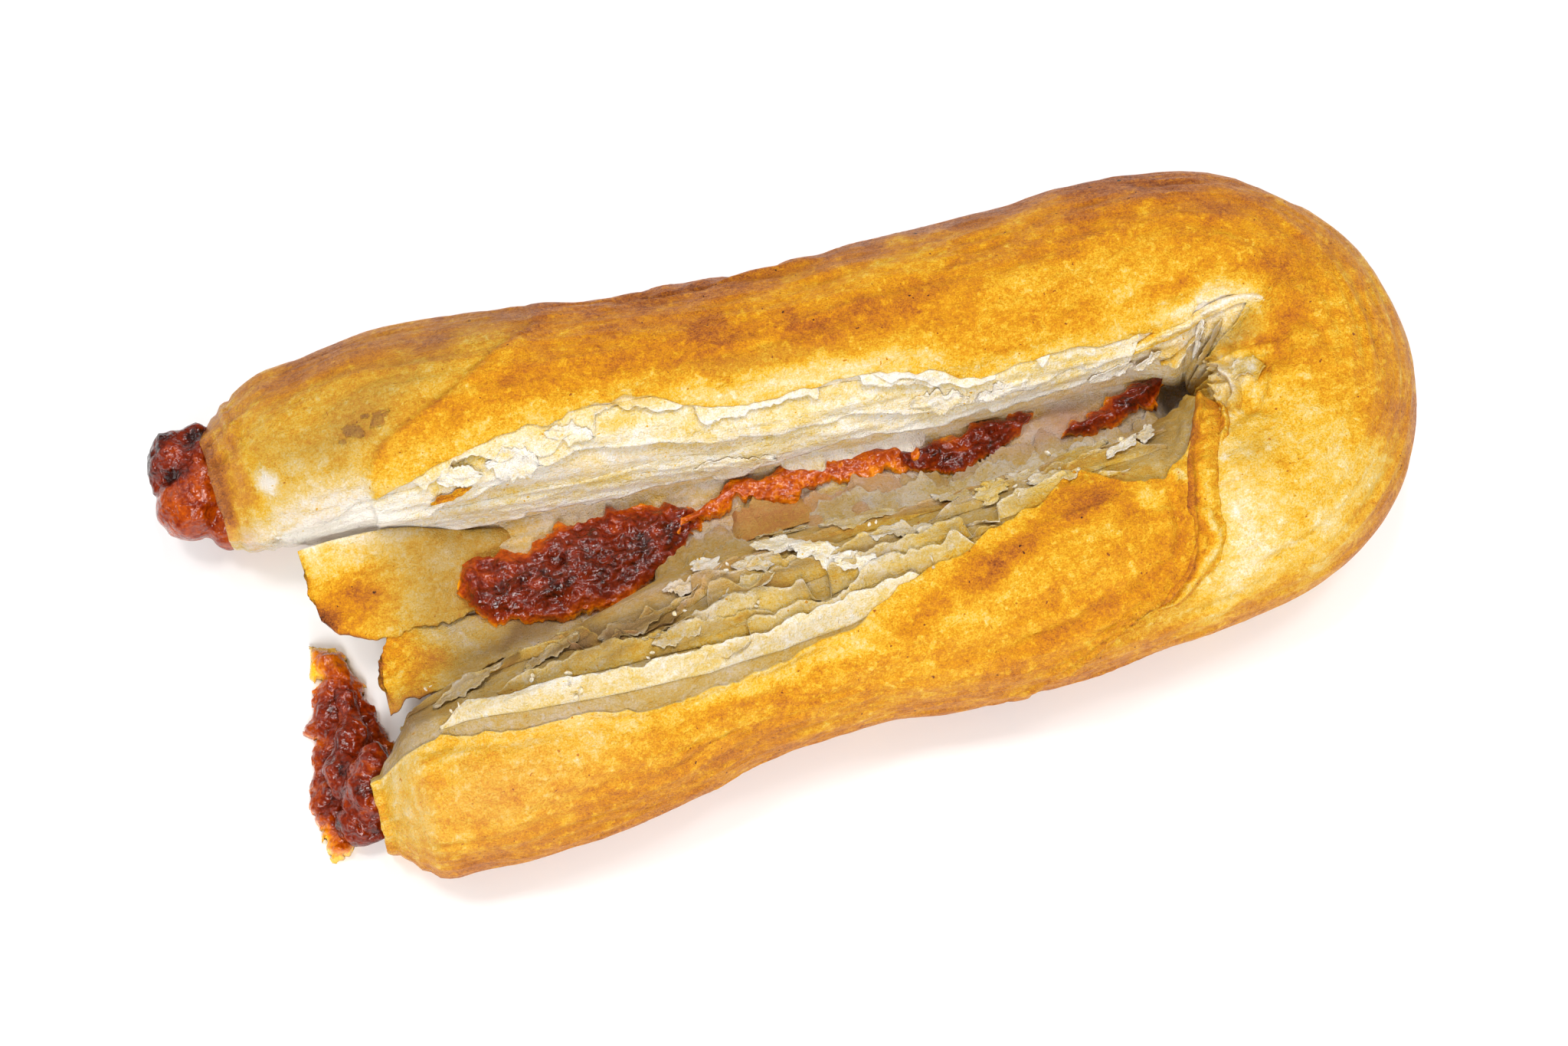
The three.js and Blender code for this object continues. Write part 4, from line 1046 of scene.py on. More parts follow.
def makeFlake(name, row, side, seed):
    f = flakeShape
    x, y, length, width, turn, lift, bend, bake, dull = row
    (run0, angle0), = side([(x, y)])
    u, v = shareGrid(f["steps"], f["across"], low=-1)
    taper = np.sqrt(np.clip(1 - np.abs(u) ** f["taper"], f["tip"], 1))
    size = min(width / f["fullSize"], 1)
    wide = 1 + wave(f["ragged"], u * length, np.sign(v), seed, layers=3)
    wide = wide + np.abs(wave(f["jag"], u * length, np.sign(v), seed))
    along = u * length / 2 + size * wave(f["raggedTips"], v, u, seed, layers=3) * np.abs(u) ** 2
    across = v * width / 2 * taper * wide
    c, s = math.cos(math.radians(turn)), math.sin(math.radians(turn))
    run = run0 + along * c - across * s
    angle = angle0 + (along * s + across * c) / degreeLength
    golden, skinHeight, flankHeight = onFlank(run, angle)
    ground = np.where(angle < golden, skinHeight, flankHeight)
    height = lift + bend * (f["cup"] * (v ** 2 - f["cupMiddle"]) + f["tilt"] * u)
    height = height + size * wave(f["waves"], u, v, seed)
    height = height + ground if bend == 0 else height + (ground + ground.mean()) / 2
    # the rim is paler and less dull: thinner pastry, and painted light caught on the edge
    rim = ease(np.maximum(np.abs(u), np.abs(v)), *f["rim"])
    tone = bake + wave(f["mottle"], u, v, seed) - f["rimPaleAndLit"] * rim
    return plate(name, run, angle, height, f["thick"], tone, dull=dull * (1 - f["rimClearAndLit"] * rim))


flakeGroups = {  # name: (rows, the side they lie on, first seed)
    "flakeShort": (flakes, shortSide, 900), "flakePinch": (pinchFlakes, onRoll, 1500),
    "flakeLong": (longFlakes, longSide, 1200),
}
flakePieces = [
    makeFlake(f"{name}{i}", row, side, firstSeed + 10 * i)
    for name, (group, side, firstSeed) in flakeGroups.items() for i, row in enumerate(group)
]


# Two flaps torn from the legs hang over the valley's open end

flaps = {
    "longFlap": {
        "rows": [(-79.5, 13, 17, 2.4, 15.5), (-77, 13, 17.5, -1.6, 14.5), (-72, 12.5, 18, -4, 14),
                 (-66, 12, 18.5, -3.4, 13), (-60, 11, 17.4, -3.5, 13), (-54, 10, 14.0, -3.4, 12.0),
                 (-47, 9, 11.6, -3, 10.6)],
        "bake": 0.55, "fade": 0.16, "dull": 0.85, "dulls": (0.12, 0.6), "burnt": (-79, 0.2, 1.8),
    },
    "shortFlap": {
        "rows": [(-73, -6.5, 14.5, -17, 16), (-71, -3.8, 13, -16.5, 16.5), (-63, -2, 12.2, -15.5, 16),
                 (-54, -4.5, 12.4, -13.5, 15.5), (-46, -7, 12, -12.5, 14.2), (-40, -8, 11.4, -11.5, 12.6)],
        "bake": 0.52, "fade": 0.26, "dull": 0.85, "dulls": (0.05, 0.4), "burnt": (-73.5, -9, 0.8),
    },
}
flapShape = {
    "steps": 130, "across": 60, "thick": 0.7, "ragged": (0.9, 3.5, 1, 0), "raggedFront": (0.9, 3, 1, 1),
    "waves": (0.6, 7, 4, 2), "drop": 0.5, "frontDrop": (-0.2, 0), "dent": 1.0, "dentV": (0.55, 0.3),
    "dentU": (0.35, 0.3), "fadeAlong": (0.05, 0.45), "mottle": (0.07, 4, 3, 3), "dentBrown": 0.17,
    "brownV": (0.55, 0.18), "brownU": (0.26, 0.12), "burnt": 0.45, "edgeBrown": 0.14, "front": (-0.04, 0),
    "tip": (0.95, 1), "tipFront": (-0.3, -0.1),
}


def makeFlap(name, seed):
    f = flapShape
    look = flaps[name]
    table = np.array(look["rows"], float)
    u, v = shareGrid(f["steps"], f["across"])
    x = table[0, 0] + u * (table[-1, 0] - table[0, 0])
    y0, z0, y1, z1 = (np.interp(x, table[:, 0], table[:, k]) for k in (1, 2, 3, 4))
    y = y0 + (y1 - y0) * v + wave(f["ragged"], x, v, seed, layers=4) * v ** 3 * np.sign(y1 - y0)
    x = x + wave(f["raggedFront"], y, u, seed, layers=4) * (1 - u) ** 4
    z = z0 + (z1 - z0) * v + wave(f["waves"], x, y, seed, layers=3)
    z = z - f["drop"] * ease(-u, *f["frontDrop"]) - f["dent"] * hump(v, *f["dentV"]) * hump(u, *f["dentU"])
    upper = np.stack(np.broadcast_arrays(x, y, z), -1)
    lower = upper - np.array([0, 0, f["thick"]])
    bake = look["bake"] - look["fade"] * ease(u, *f["fadeAlong"]) + wave(f["mottle"], x, y, seed)
    bake = bake + f["dentBrown"] * hump(v, *f["brownV"]) * hump(u, *f["brownU"])
    seenX, seenY = asSeen(upper)
    spotX, spotY, size = look["burnt"]
    bake = bake + f["burnt"] * hump(seenX, spotX, size) * hump(seenY, spotY, size)
    front = ease(-u, *f["front"]) + ease(v, *f["tip"]) * ease(-u, *f["tipFront"])
    dull = look["dull"] * ease(u, *look["dulls"])
    return slab(name, upper, lower, painted(upper, bake + f["edgeBrown"] * front, dull=dull))


flapPieces = makeAll(makeFlap, flaps, firstSeed=301, step=20)


# Ribbons of folded pastry that follow a path over the roll

ribbonShape = {
    # foldShading is painted shade in the folds' hollows and painted light on their crests
    "steps": 150, "across": 30, "thick": 0.9, "foldShading": 0.10, "taper": 0.14, "endWidth": 0.3,
    "uneven": (0.25, 1 / 8, 1, 0), "wander": (0.6, 1 / 4, 1, 1), "crown": 0.7, "foldShare": 0.45,
    "lumps": (0.25, 1 / 12, 1, 2), "grain": (0.15, 8, 1 / 3, 3), "sunk": 0.08,
    "noEdge": 400,  # an angle past the whole roll, so that none of the ribbon counts as flank
}
ribbonRows = {
    # name: (path as seen, width, height, creases, extra baking, extra dullness)
    "hemFold": ([(64.4, -3.8), (63.6, -7), (61.8, -10), (60, -13), (58.6, -17), (57.6, -21), (57.2, -25)],
        5.0, 1.2, 0.7, 0.10, 0.0),
    "hemKnot": ([(58.2, -18), (58, -22), (57.4, -26.4), (55, -30.4), (50.6, -33.6), (45, -36)], 4.6, 1.2,
        1.8, 0.04, 0.0),
    "hemLoop": ([(65.4, -4.6), (66, -6.8), (65, -9.4), (63.6, -12)], 1.8, 1.0, 1.0, 0.08, 0.0),
    "pinchLoop": ([(65.6, 2.2), (68.1, 0.3), (69, -2.4), (68.7, -5), (67.4, -6.8), (65.6, -6)], 2.4, 1.5,
        1.0, -0.08, 0.35),
    "pinchShelf": ([(55, 6.2), (61.2, 7.4), (66.6, 8.6), (71, 10), (75, 10.2), (79, 8.6)], 2.6, 0.6, 1.0,
        -0.22, 0.0),
    "pinchLip": ([(70.4, 7.6), (68.4, 5), (66.6, 2.6), (65, 1.2)], 1.2, 1.9, 1.0, -0.26, 0.25),
    "pinchInner": ([(68, 7.6), (65.6, 5.2), (63.2, 3.6), (59.6, 2.6)], 1.1, 1.3, 1.0, -0.26, 0.15),
}


def makeRibbon(name, seed):
    r = ribbonShape
    path, width, height, creaseCount, browner, dull = ribbonRows[name]
    onLong = path[0][1] > 0 and path[-1][1] > 0
    side = longSide if onLong else shortSide if path[0][1] < 0 else onRoll
    places = smoothLine(side(path), r["steps"])
    direction = np.gradient(places * np.array([1, degreeLength]), axis=0)
    direction /= np.linalg.norm(direction, axis=1)[:, None]
    t = np.linspace(0, 1, r["steps"])[:, None]
    v = np.linspace(-1, 1, r["across"])[None, :]
    atEnd = between(t, 0, r["taper"], 1 - r["taper"], 1)
    half = width / 2 * (r["endWidth"] + (1 - r["endWidth"]) * atEnd) * (1 + wave(r["uneven"], t, seed=seed))
    run = places[:, :1] - direction[:, 1:] * v * half
    angle = places[:, 1:] + direction[:, :1] * v * half / degreeLength
    drift = wave(r["wander"], t, seed=seed, layers=2)
    folds = 0.5 + 0.5 * np.cos((v + drift) * math.pi * creaseCount)
    crown = np.clip(1 - v ** 2, 0, 1) ** r["crown"]
    lift = height * atEnd * crown * (1 - r["foldShare"] + r["foldShare"] * folds)
    lift = lift * (1 + wave(r["lumps"], t, v, seed)) + wave(r["grain"], t * r["steps"], v, seed) * crown
    base = relief(run, angle)
    upper = skin(run, angle, base + lift - r["sunk"])
    lower = skin(run, angle, base - r["thick"])
    marks = skinMarks(upper, run, angle, r["noEdge"])
    # painted shade in the hollows between the folds and painted light on their crests
    marks["bake"] = marks["bake"] + browner + r["foldShading"] * (1 - 2 * folds * crown)
    marks["dull"] = marks["dull"] + dull
    return slab(name, upper, lower, marks)


ribbons = makeAll(makeRibbon, ribbonRows, firstSeed=401)


# Jam in the valley: low domed patches with rough, bubbled tops

jamPatches = {
    # name: (one edge as seen, the other edge, their height, how far the middle stands up, steps, thinness,
    # and how much thinner both ends are)
    "jamPatch": ([(-57, 1.5), (-55, 4.6), (-50, 3.2), (-46, 2.4), (-40, 5.4), (-33, 4.8), (-27, 4.4),
        (-22, 3.8), (-18.6, 1.6)], [(-57, -3), (-55, -7.2), (-50, -8.6), (-41, -9.8), (-35, -10.6),
        (-28, -8.2), (-24, -6), (-21.5, -3.6), (-18.6, -1.2)], 13.4, 2.0, 300, 0.0, 0.0),
    "jamNeck": ([(-22, 0.6), (-16, 1.8), (-11, 4.4), (-7, 3.8), (-3, 4.4), (5, 4), (12, 3), (18, 1.8),
        (20.5, 0.4)], [(-22, -1.4), (-16, -0.4), (-11, 1.8), (-7, -1.4), (-3, -1.2), (5, -0.4), (12, -1),
        (18, -1.6), (20.5, -1)], 14.3, 1.2, 260, 0.52, 0.0),
    "jamStrip": ([(15, 1.2), (20, 1.4), (24, 1.0), (30, 2), (36, 1.6), (38, 0.8)], [(15, -1.6), (19, -3),
        (24, -4.6), (30, -3.6), (36, -1), (38, 0.2)], 14.4, 1.4, 200, 0.0, 0.1),
    "jamTip": ([(42, -3.4), (46, -2), (51, -0.4), (56, 1.4), (60, 1.6)], [(42, -4.2), (47, -4.4),
        (52, -3.8), (57, -2), (60.4, 0.6)], 15.2, 1.3, 160, 0.0, 0.1),
    "jamSpill": ([(-84.6, -3.8), (-84.9, -6.2), (-83.1, -8.9), (-85, -9.9), (-86.7, -11.3), (-87.3, -14.1),
        (-88.6, -16.1), (-87.1, -18.5), (-88.2, -20.3), (-89.5, -21), (-89.4, -23.4), (-91.1, -28.3),
        (-91.3, -31.5), (-89.1, -33.3), (-90.9, -35.9), (-89.6, -38.4)], [(-79.6, -5.2), (-78.8, -8),
        (-78.2, -11.2), (-78, -13.5), (-77, -15.6), (-76.5, -18), (-76, -20), (-76, -23), (-76.5, -26),
        (-77.5, -29), (-79, -31.7), (-80.7, -33.4), (-82.6, -34.6), (-84.3, -36), (-86.5, -37.6),
        (-89, -38.6)], 1.0, 3.0, 280, 0.10, 0.5),
}
jamShape = {
    "across": 90, "sunk": 3.2, "lowest": 0.3, "domeSharp": 0.45, "endReach": 0.05, "endSharp": 0.5,
    "raggedX": (1.2, 2.2, 2.2, 0), "raggedY": (1.2, 2.2, 2.2, 5), "lumpy": (0.7, 2.6, 2.2, 1),
    "fine": (0.24, 0.9, 0.8, 2), "thinFlat": 0.7, "edgeLumps": 0.25, "marginThin": 0.8, "marginSharp": 1.5,
    "thinSpots": 0.2, "spotPlaces": (1, 5, 3, 6), "spotSteep": (0.2, 0.8), "start": (-0.3, -0.05),
    "end": (0.82, 0.96), "farMargin": 0.25, "farAcross": (0.72, 1), "farPlaces": (1, 9, 7, 7),
    "farSteep": (-0.3, 0.3),
}


def jamThinness(x, y, u, v, margin, thinness, endThinness, seed):
    j = jamShape
    thin = thinness + (j["marginThin"] - thinness) * margin ** j["marginSharp"]
    thin = thin + j["thinSpots"] * ease(wave(j["spotPlaces"], x, y, seed), *j["spotSteep"])
    thin = thin + endThinness * (ease(-u, *j["start"]) + ease(u, *j["end"]))
    far = ease(v, *j["farAcross"]) * ease(wave(j["farPlaces"], x, y, seed), *j["farSteep"])
    return thin + j["farMargin"] * far


def makeJamPatch(name, seed):
    j = jamShape
    upperEdge, lowerEdge, height, dome, steps, thinness, endThinness = jamPatches[name]
    high = smoothLine(upperEdge, steps)[:, None]
    low = smoothLine(lowerEdge, steps)[:, None]
    u, v = shareGrid(steps, j["across"])
    atEnds = between(u, 0, j["endReach"], 1 - j["endReach"], 1) ** j["endSharp"]
    crown = np.clip(4 * v * (1 - v), 0, 1) ** j["domeSharp"] * atEnds
    flat = atHeight(low + (high - low) * v[..., None], height)
    x, y = flat[..., 0], flat[..., 1]
    margin = 1 - crown
    x = x + wave(j["raggedX"], x, y, seed, layers=4) * margin
    y = y + wave(j["raggedY"], x, y, seed, layers=4) * margin
    lumps = wave(j["lumpy"], x, y, seed, layers=2) + wave(j["fine"], x, y, seed)
    lumps = lumps * (1 - j["thinFlat"] * thinness) * (j["edgeLumps"] + (1 - j["edgeLumps"]) * crown)
    upper = np.stack([x, y, np.maximum(height + dome * crown + lumps, j["lowest"])], -1)
    lower = np.stack([x, y, np.full(x.shape, max(height - j["sunk"], 0.0))], -1)
    return slab(name, upper, lower, {"thin": jamThinness(x, y, u, v, margin, thinness, endThinness, seed)})


print("jam")
jamPieces = makeAll(makeJamPatch, jamPatches, firstSeed=500)


# Jam that swelled out at both ends: overlapping lumps, remeshed into one skin and roughened

jamLumps = {
    "longEndJam": {
        "lumps": [  # middle, then half sizes
            ((-94.2, 35.1, 12), (5.4, 4.6, 5.4)), ((-94.4, 27.6, 10.4), (5.6, 5.4, 6.2)),
            ((-91, 31.4, 13.5), (5, 6.8, 4.8)), ((-97.2, 32.6, 10.5), (2.4, 2.2, 3)),
            ((-90.5, 37.6, 12.6), (2.6, 2.4, 3)), ((-89.5, 23.2, 9), (3.4, 3.4, 4.5)),
        ],
        "voxel": 0.36, "lumpy": 0.8, "smoothBelow": 31.5, "thin": -0.03, "spread": 0.4,
    },
    "shortEndJam": {
        "lumps": [
            ((-79.6, -25.4, 7), (4.6, 5.6, 4.2)), ((-81.5, -29.4, 4.4), (5, 3.4, 3.4)),
            ((-82.2, -21, 4.4), (4.2, 5, 3.2)), ((-79.6, -15.5, 4.4), (3.0, 4, 2.8)),
            ((-79.4, -9.5, 3.4), (2.2, 3.4, 2.2)), ((-77.4, -22, 8), (3.0, 4.4, 4)),
        ],
        "voxel": 0.4, "lumpy": 0.7, "smoothBelow": -99, "thin": 0.14, "spread": 0.22,
    },
}
lumpShape = {
    "subdivisions": 4, "smoothings": 6, "glossy": 0.9, "glossyOver": 2, "lumpWidth": 3, "sunk": 0.2,
    "ridge": 0.35, "ridgeWidth": 1.4, "lowest": 0.02, "thinWidth": 2.6, "glossyThin": 0.42,
    "footThin": 0.2, "footBelow": 3.5,
}


def lumpMesh(look):  # the lumps as one smooth skin
    bm = bmesh.new()
    for middle, half in look["lumps"]:
        made = bmesh.ops.create_icosphere(bm, subdivisions=lumpShape["subdivisions"], radius=1)
        for vertex in made["verts"]:
            vertex.co = [mm * (m + h * c) for m, h, c in zip(middle, half, vertex.co)]
    mesh = bpy.data.meshes.new("lumps")
    bm.to_mesh(mesh)
    bm.free()
    rough = addObject("lumps", mesh)
    remesh = rough.modifiers.new("skin", "REMESH")
    remesh.mode = "VOXEL"
    remesh.voxel_size = look["voxel"] * mm
    rough.modifiers.new("soft", "SMOOTH").iterations = lumpShape["smoothings"]
    return settled(rough)


def vertexArray(vectors, key):
    values = np.empty(len(vectors) * 3, np.float32)
    vectors.foreach_get(key, values)
    return values.reshape(-1, 3)


def makeJamLumps(name, seed):
    f = lumpShape
    look = jamLumps[name]
    plain = lumpMesh(look)
    points = vertexArray(plain.vertices, "co") / mm
    normals = vertexArray(plain.vertex_normals, "vector")
    x, y, z = points.T
    soft = 1 - f["glossy"] * ease(look["smoothBelow"] - y, 0, f["glossyOver"])
    wide, fine, patch = f["lumpWidth"], f["ridgeWidth"], f["thinWidth"]
    lumps = look["lumpy"] * roughNoise(x / wide, y / wide, z / wide, seed=seed, layers=2)
    ridges = f["ridge"] * (0.5 - np.abs(noise(x / fine, y / fine, z / fine, seed=seed + 1)))
    points = points + normals * ((lumps - f["sunk"]) * (0.5 + 0.5 * soft) + ridges * soft)[:, None]
    points[:, 2] = np.maximum(points[:, 2], f["lowest"])
    thin = look["thin"] + look["spread"] * noise(x / patch, y / patch, z / patch, seed=seed + 3) * soft
    thin = thin + f["glossyThin"] * (1 - soft) + f["footThin"] * ease(-z, -f["footBelow"], 0)
    plain.vertices.foreach_set("co", (points * mm).astype(np.float32).ravel())
    addMark(plain, "thin", thin)
    plain.shade_smooth()
    plain.update()
    plain.name = name
    return addObject(name, plain)


jamPieces += makeAll(makeJamLumps, jamLumps, firstSeed=601, step=30)


# Materials

def addNode(tree, kind, inputs=None, **settings):
    node = tree.nodes.new(kind)
    for key, value in settings.items():
        setattr(node, key, value)
    feed(tree, node, inputs or {})
    return node


def feed(tree, node, inputs):  # sets each input, or links it where its value comes from another node
    for key, value in inputs.items():
        if isinstance(value, bpy.types.NodeSocket):
            tree.links.new(value, node.inputs[key])
        else:
            node.inputs[key].default_value = value


def newMaterial(name):
    material = bpy.data.materials.new(name)
    material.use_nodes = True
    tree = material.node_tree
    tree.nodes.clear()
    shader = addNode(tree, "ShaderNodeBsdfPrincipled")
    addNode(tree, "ShaderNodeOutputMaterial", {0: shader.outputs[0]})
    return material, tree, shader


def srgb(red, green, blue):
    def linear(c):
        c = c / 255
        return c / 12.92 if c <= 0.04045 else ((c + 0.055) / 1.055) ** 2.4
    return linear(red), linear(green), linear(blue), 1.0


def attribute(tree, name):
    return addNode(tree, "ShaderNodeAttribute", attribute_name=name).outputs["Fac"]


def noiseTexture(tree, scale, detail=4.0, roughness=0.55, stretch=None, distortion=0.0):
    place = addNode(tree, "ShaderNodeTexCoord").outputs["Object"]
    if stretch:
        place = addNode(tree, "ShaderNodeMapping", {"Vector": place, "Scale": stretch}).outputs["Vector"]
    return addNode(tree, "ShaderNodeTexNoise", {
        "Vector": place, "Scale": scale, "Detail": detail, "Roughness": roughness, "Distortion": distortion,
    }).outputs["Fac"]


def calculate(tree, operation, *values, clamp=False):
    inputs = dict(enumerate(values))
    return addNode(tree, "ShaderNodeMath", inputs, operation=operation, use_clamp=clamp).outputs[0]


def centred(tree, texture, amount):  # a texture from 0 to 1 as plus or minus half the amount
    return calculate(tree, "MULTIPLY", calculate(tree, "SUBTRACT", texture, 0.5), amount)


def colourRamp(tree, value, stops):
    ramp = addNode(tree, "ShaderNodeValToRGB", {"Fac": value})
    elements = ramp.color_ramp.elements
    while len(elements) < len(stops):
        elements.new(0.5)
    for element, (place, colour) in zip(elements, stops):
        element.position = place
        element.color = srgb(*colour)
    return ramp.outputs["Color"]


def mixColours(tree, share, first, second):
    mix = {0: share, 6: first, 7: second}
    return addNode(tree, "ShaderNodeMix", mix, data_type="RGBA", blend_type="MIX").outputs[2]


def bumps(tree, *layers):  # each layer is a height and how far it stands out
    normal = {}
    for height, distance in layers:
        inputs = {"Strength": 1.0, "Distance": distance, "Height": height, **normal}
        normal = {"Normal": addNode(tree, "ShaderNodeBump", inputs).outputs["Normal"]}
    return normal["Normal"]


crust = {
    "colours": [
        (0.0, (255, 246, 232)), (0.12, (251, 232, 194)), (0.26, (242, 210, 128)), (0.40, (240, 188, 46)),
        (0.52, (226, 152, 10)), (0.64, (204, 124, 20)), (0.76, (170, 92, 30)), (0.90, (108, 52, 20)),
        (1.0, (48, 22, 12)),
    ],
    "dull": (134, 102, 62), "dullShare": 0.66, "stain": (206, 140, 108), "stainShare": 0.7,
    "mottles": [(160, 0.13), (520, 0.21), (1500, 0.36), (3600, 0.52)],  # scale of each noise, and its amount
    "blisters": {"scale": 620, "from": 0.60, "to": 0.68, "amount": -0.09},
    "specks": {"scale": 1000, "from": 0.755, "to": 0.78, "amount": 0.3},
    "mottleGrain": {"detail": 4, "roughness": 0.6}, "spotGrain": {"detail": 1},
    "roughDry": 0.42, "roughSpread": 0.6, "roughWet": 0.08, "roughMottle": 2, "grainMottle": 3,
    # the noise of each relief, and how high it stands
    "fibres": ({"scale": 420, "detail": 4, "stretch": (0.22, 1.0, 1.0), "distortion": 0.4}, 0.0006),
    "bubbles": ({"scale": 620, "detail": 3, "roughness": 0.5}, 0.0005), "grainBump": 0.0005,
    "shader": {
        "Specular IOR Level": 0.26, "Subsurface Weight": 0.10, "Subsurface Radius": (1.0, 0.55, 0.25),
        "Subsurface Scale": 0.0012,
    },
}


def mottledBake(tree):  # the mesh's own baking with finer blotches, blisters and specks
    bake = attribute(tree, "bake")
    textures = []
    for scale, amount in crust["mottles"]:
        textures.append(noiseTexture(tree, scale, **crust["mottleGrain"]))
        bake = calculate(tree, "ADD", bake, centred(tree, textures[-1], amount))
    for spot in (crust["blisters"], crust["specks"]):
        found = noiseTexture(tree, spot["scale"], **crust["spotGrain"])
        found = calculate(tree, "SUBTRACT", found, spot["from"])
        found = calculate(tree, "DIVIDE", found, spot["to"] - spot["from"], clamp=True)
        bake = calculate(tree, "MULTIPLY_ADD", found, spot["amount"], bake)
    return bake, textures


def makePastryMaterial():
    material, tree, shader = newMaterial("bakedFilo")
    bake, textures = mottledBake(tree)
    colour = colourRamp(tree, bake, crust["colours"])
    for mark in ("dull", "stain"):
        share = calculate(tree, "MULTIPLY", attribute(tree, mark), crust[mark + "Share"], clamp=True)
        colour = mixColours(tree, share, colour, srgb(*crust[mark]))
    wet = calculate(tree, "MULTIPLY", attribute(tree, "wet"), 1.0, clamp=True)
    uneven = centred(tree, textures[crust["roughMottle"]], crust["roughSpread"])
    rough = calculate(tree, "ADD", crust["roughDry"], uneven)
    rough = calculate(tree, "MULTIPLY_ADD", wet, crust["roughWet"] - crust["roughDry"], rough)
    layers = [(noiseTexture(tree, **grain), high) for grain, high in (crust["fibres"], crust["bubbles"])]
    normal = bumps(tree, *layers, (textures[crust["grainMottle"]], crust["grainBump"]))
    feed(tree, shader, {"Base Color": colour, "Roughness": rough, "Normal": normal, **crust["shader"]})
    return material


jamLook = {
    "colours": [
        (0.0, (44, 7, 1)), (0.28, (122, 32, 1)), (0.52, (176, 72, 1)), (0.72, (220, 122, 2)),
        (0.88, (238, 154, 4)), (1.0, (244, 190, 44)),
    ],
    "base": 0.12, "thinShare": 0.75,
    # noises and how much they count, then noises and how high their relief stands
    "patches": ({"scale": 380, "detail": 5, "roughness": 0.6}, 0.6),
    "flecks": ({"scale": 1500, "detail": 3}, 0.5),
    "lumps": ({"scale": 480, "detail": 1, "distortion": 0.8}, 0.0007),
    "beads": ({"scale": 1500, "detail": 1}, 0.00018),
    "shader": {
        "Roughness": 0.18, "Specular IOR Level": 0.3, "Subsurface Weight": 0.06,
        "Subsurface Radius": (1.0, 0.25, 0.08), "Subsurface Scale": 0.002, "Coat Weight": 0.2,
        "Coat Roughness": 0.08,
    },
}


def makeJamMaterial():
    material, tree, shader = newMaterial("bakedJam")
    value = calculate(tree, "MULTIPLY_ADD", attribute(tree, "thin"), jamLook["thinShare"], jamLook["base"])
    for grain, amount in (jamLook["patches"], jamLook["flecks"]):
        value = calculate(tree, "ADD", value, centred(tree, noiseTexture(tree, **grain), amount))
    colour = colourRamp(tree, value, jamLook["colours"])
    layers = [(noiseTexture(tree, **grain), high) for grain, high in (jamLook["lumps"], jamLook["beads"])]
    feed(tree, shader, {"Base Color": colour, "Normal": bumps(tree, *layers), **jamLook["shader"]})
    return material


# Crumbs and flakes strewn by Geometry Nodes on the places where the photograph shows them

crumbs = {
    "places": [
        (-49.5, -17.5), (-44, -20), (-43.5, -22.5), (14.5, -18), (-30, -19), (-12, -16.4), (3, -13),
        (-62, -19.4), (-25, -13.4), (-16, -9.6), (8, -9.4), (30, -10), (38, -8), (49, -8), (-68, -12),
    ],
    "size": 0.45, "perPlace": 2, "spread": 1.6, "seed": 7, "bake": 0.1, "above": 0.4, "subdivisions": 2,
    "wobbleScale": 1800, "smallest": (0.5, 0.4, 0.2), "largest": (1.6, 1.2, 0.6),
    "sockets": [
        ("Geometry", "INPUT", "Geometry"), ("Size", "INPUT", "Float"), ("Seed", "INPUT", "Int"),
        ("Geometry", "OUTPUT", "Geometry"),
    ],
}


def randomVector(tree, low, high, seed):
    inputs = {0: low, 1: high, "Seed": seed}
    return addNode(tree, "FunctionNodeRandomValue", inputs, data_type="FLOAT_VECTOR").outputs[0]


def crumbTree(material):  # puts a bumpy crumb of a random size and turn on each point
    tree = bpy.data.node_groups.new("strewCrumbs", "GeometryNodeTree")
    sockets = {}
    for name, way, kind in crumbs["sockets"]:
        socket = tree.interface.new_socket(name, in_out=way, socket_type="NodeSocket" + kind)
        sockets[name] = socket.identifier
    inside = addNode(tree, "NodeGroupInput").outputs
    ball = {"Radius": inside["Size"], "Subdivisions": crumbs["subdivisions"]}
    crumb = addNode(tree, "GeometryNodeMeshIcoSphere", ball).outputs["Mesh"]
    wobble = addNode(tree, "ShaderNodeTexNoise", {"Scale": crumbs["wobbleScale"]}).outputs["Color"]
    middle = (0.5, 0.5, 0.5)
    wobble = addNode(tree, "ShaderNodeVectorMath", {0: wobble, 1: middle}, operation="SUBTRACT").outputs[0]
    bySize = {0: wobble, "Scale": inside["Size"]}
    wobble = addNode(tree, "ShaderNodeVectorMath", bySize, operation="SCALE").outputs[0]
    bumpy = addNode(tree, "GeometryNodeSetPosition", {"Geometry": crumb, "Offset": wobble})
    strewn = addNode(tree, "GeometryNodeInstanceOnPoints", {
        "Points": inside["Geometry"], "Instance": bumpy.outputs["Geometry"],
        "Rotation": randomVector(tree, (0, 0, 0), (math.tau, math.tau, math.tau), inside["Seed"]),
        "Scale": randomVector(tree, crumbs["smallest"], crumbs["largest"], inside["Seed"]),
    }).outputs["Instances"]
    real = addNode(tree, "GeometryNodeRealizeInstances", {"Geometry": strewn}).outputs["Geometry"]
    finish = addNode(tree, "GeometryNodeSetMaterial", {"Geometry": real, "Material": material})
    addNode(tree, "NodeGroupOutput", {0: finish.outputs["Geometry"]})
    return tree, sockets


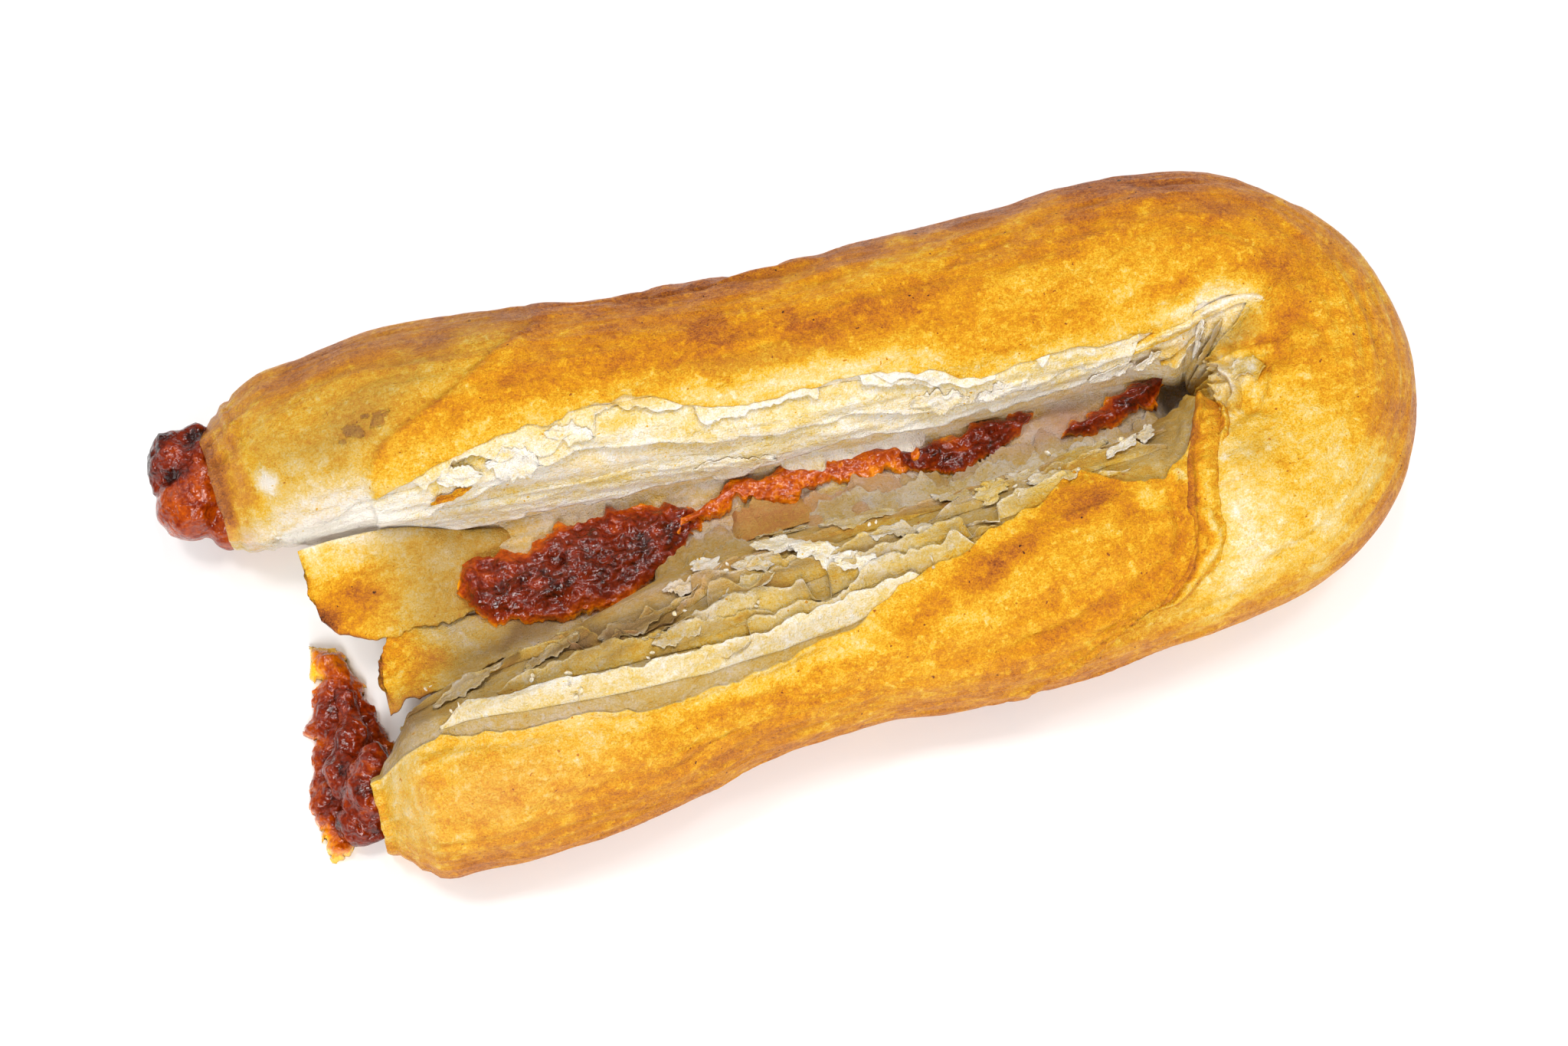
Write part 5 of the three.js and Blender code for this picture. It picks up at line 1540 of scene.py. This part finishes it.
def makeCrumbs(material):
    rng = np.random.default_rng(crumbs["seed"])
    seen = np.repeat(np.array(crumbs["places"], float), crumbs["perPlace"], 0)
    seen = seen + rng.normal(0, crumbs["spread"] / 2, seen.shape)
    run, angle = shortSide(seen).T
    points = skin(run, angle, relief(run, angle) + crumbs["above"])
    mesh = bpy.data.meshes.new("crumbPoints")
    mesh.from_pydata((points * mm).tolist(), [], [])
    piece = addObject("crumbPoints", mesh)
    strew = piece.modifiers.new("strew", "NODES")
    strew.node_group, sockets = crumbTree(material)
    strew[sockets["Size"]] = crumbs["size"] * mm
    strew[sockets["Seed"]] = crumbs["seed"]
    made = settled(piece)
    addMark(made, "bake", np.full(len(made.vertices), crumbs["bake"]))
    made.name = "crumbs"
    return addObject("crumbs", made)


print("materials")
pastryMaterial = makePastryMaterial()
jamMaterial = makeJamMaterial()
pastryPieces = [rollPiece, *ends, valleyFloor, *sheetPieces, *flakePieces, *flapPieces, *ribbons]
for piece in pastryPieces:
    piece.data.materials.append(pastryMaterial)
for piece in jamPieces:
    piece.data.materials.clear()
    piece.data.materials.append(jamMaterial)
crumbPiece = makeCrumbs(pastryMaterial)

for piece in [*pastryPieces, crumbPiece]:
    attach(piece, "root")
    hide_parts("pastry")
for piece in jamPieces:
    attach(piece, "root")
    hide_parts("filling")


# Floor, light and camera

studio = {
    "floorColour": (253, 253, 253), "floorSize": 3.0, "floorRough": 0.9, "world": 0.22,
    "lamps": [  # place, size, power in watts
        ((-0.25, -0.75, 0.85), 0.35, 8.3), ((0.6, 0.1, 0.9), 0.7, 2.2), ((-0.7, 0.5, 0.7), 0.6, 1.6),
        ((0.1, 0.32, 0.95), 0.2, 3.4), ((-0.3, 0.16, 0.95), 0.18, 2.2), ((0.42, 0.05, 0.95), 0.16, 1.4),
        ((-0.15, -0.95, 0.5), 0.4, 2.2),
    ],
}


def makeStudio():
    bpy.ops.mesh.primitive_plane_add(size=studio["floorSize"], location=(0, 0, 0))
    floor = bpy.context.object
    floor.name = "floor"
    material, tree, shader = newMaterial("paleFloor")
    feed(tree, shader, {"Base Color": srgb(*studio["floorColour"]), "Roughness": studio["floorRough"]})
    floor.data.materials.append(material)
    world = bpy.data.worlds.new("studioWorld")
    world.use_nodes = True
    background = world.node_tree.nodes["Background"]
    background.inputs["Color"].default_value = (1, 1, 1, 1)
    background.inputs["Strength"].default_value = studio["world"]
    bpy.context.scene.world = world
    for i, (place, size, power) in enumerate(studio["lamps"]):
        light = bpy.data.lights.new(f"softbox{i}", "AREA")
        light.shape = "SQUARE"
        light.size = size
        light.energy = power
        lamp = addObject(f"softbox{i}", light)
        lamp.location = place
        lamp.rotation_euler = (-lamp.location).to_track_quat("-Z", "Y").to_euler()
    bpy.context.scene.view_settings.view_transform = "Standard"


def makeCamera():
    a, e = math.radians(camera["azimuth"]), math.radians(camera["elevation"])
    aim = np.array(camera["aim"]) * mm
    forward = np.array([-math.sin(a) * math.cos(e), math.cos(a) * math.cos(e), -math.sin(e)])
    lens = bpy.data.cameras.new("camera")
    lens.lens = camera["lens"]
    lens.sensor_width = camera["sensor"]
    view = addObject("camera", lens)
    view.location = aim - forward * camera["distance"] * mm
    view.rotation_euler = (math.radians(90) - e, 0, a)
    bpy.context.scene.camera = view


print("studio")
makeStudio()
makeCamera()
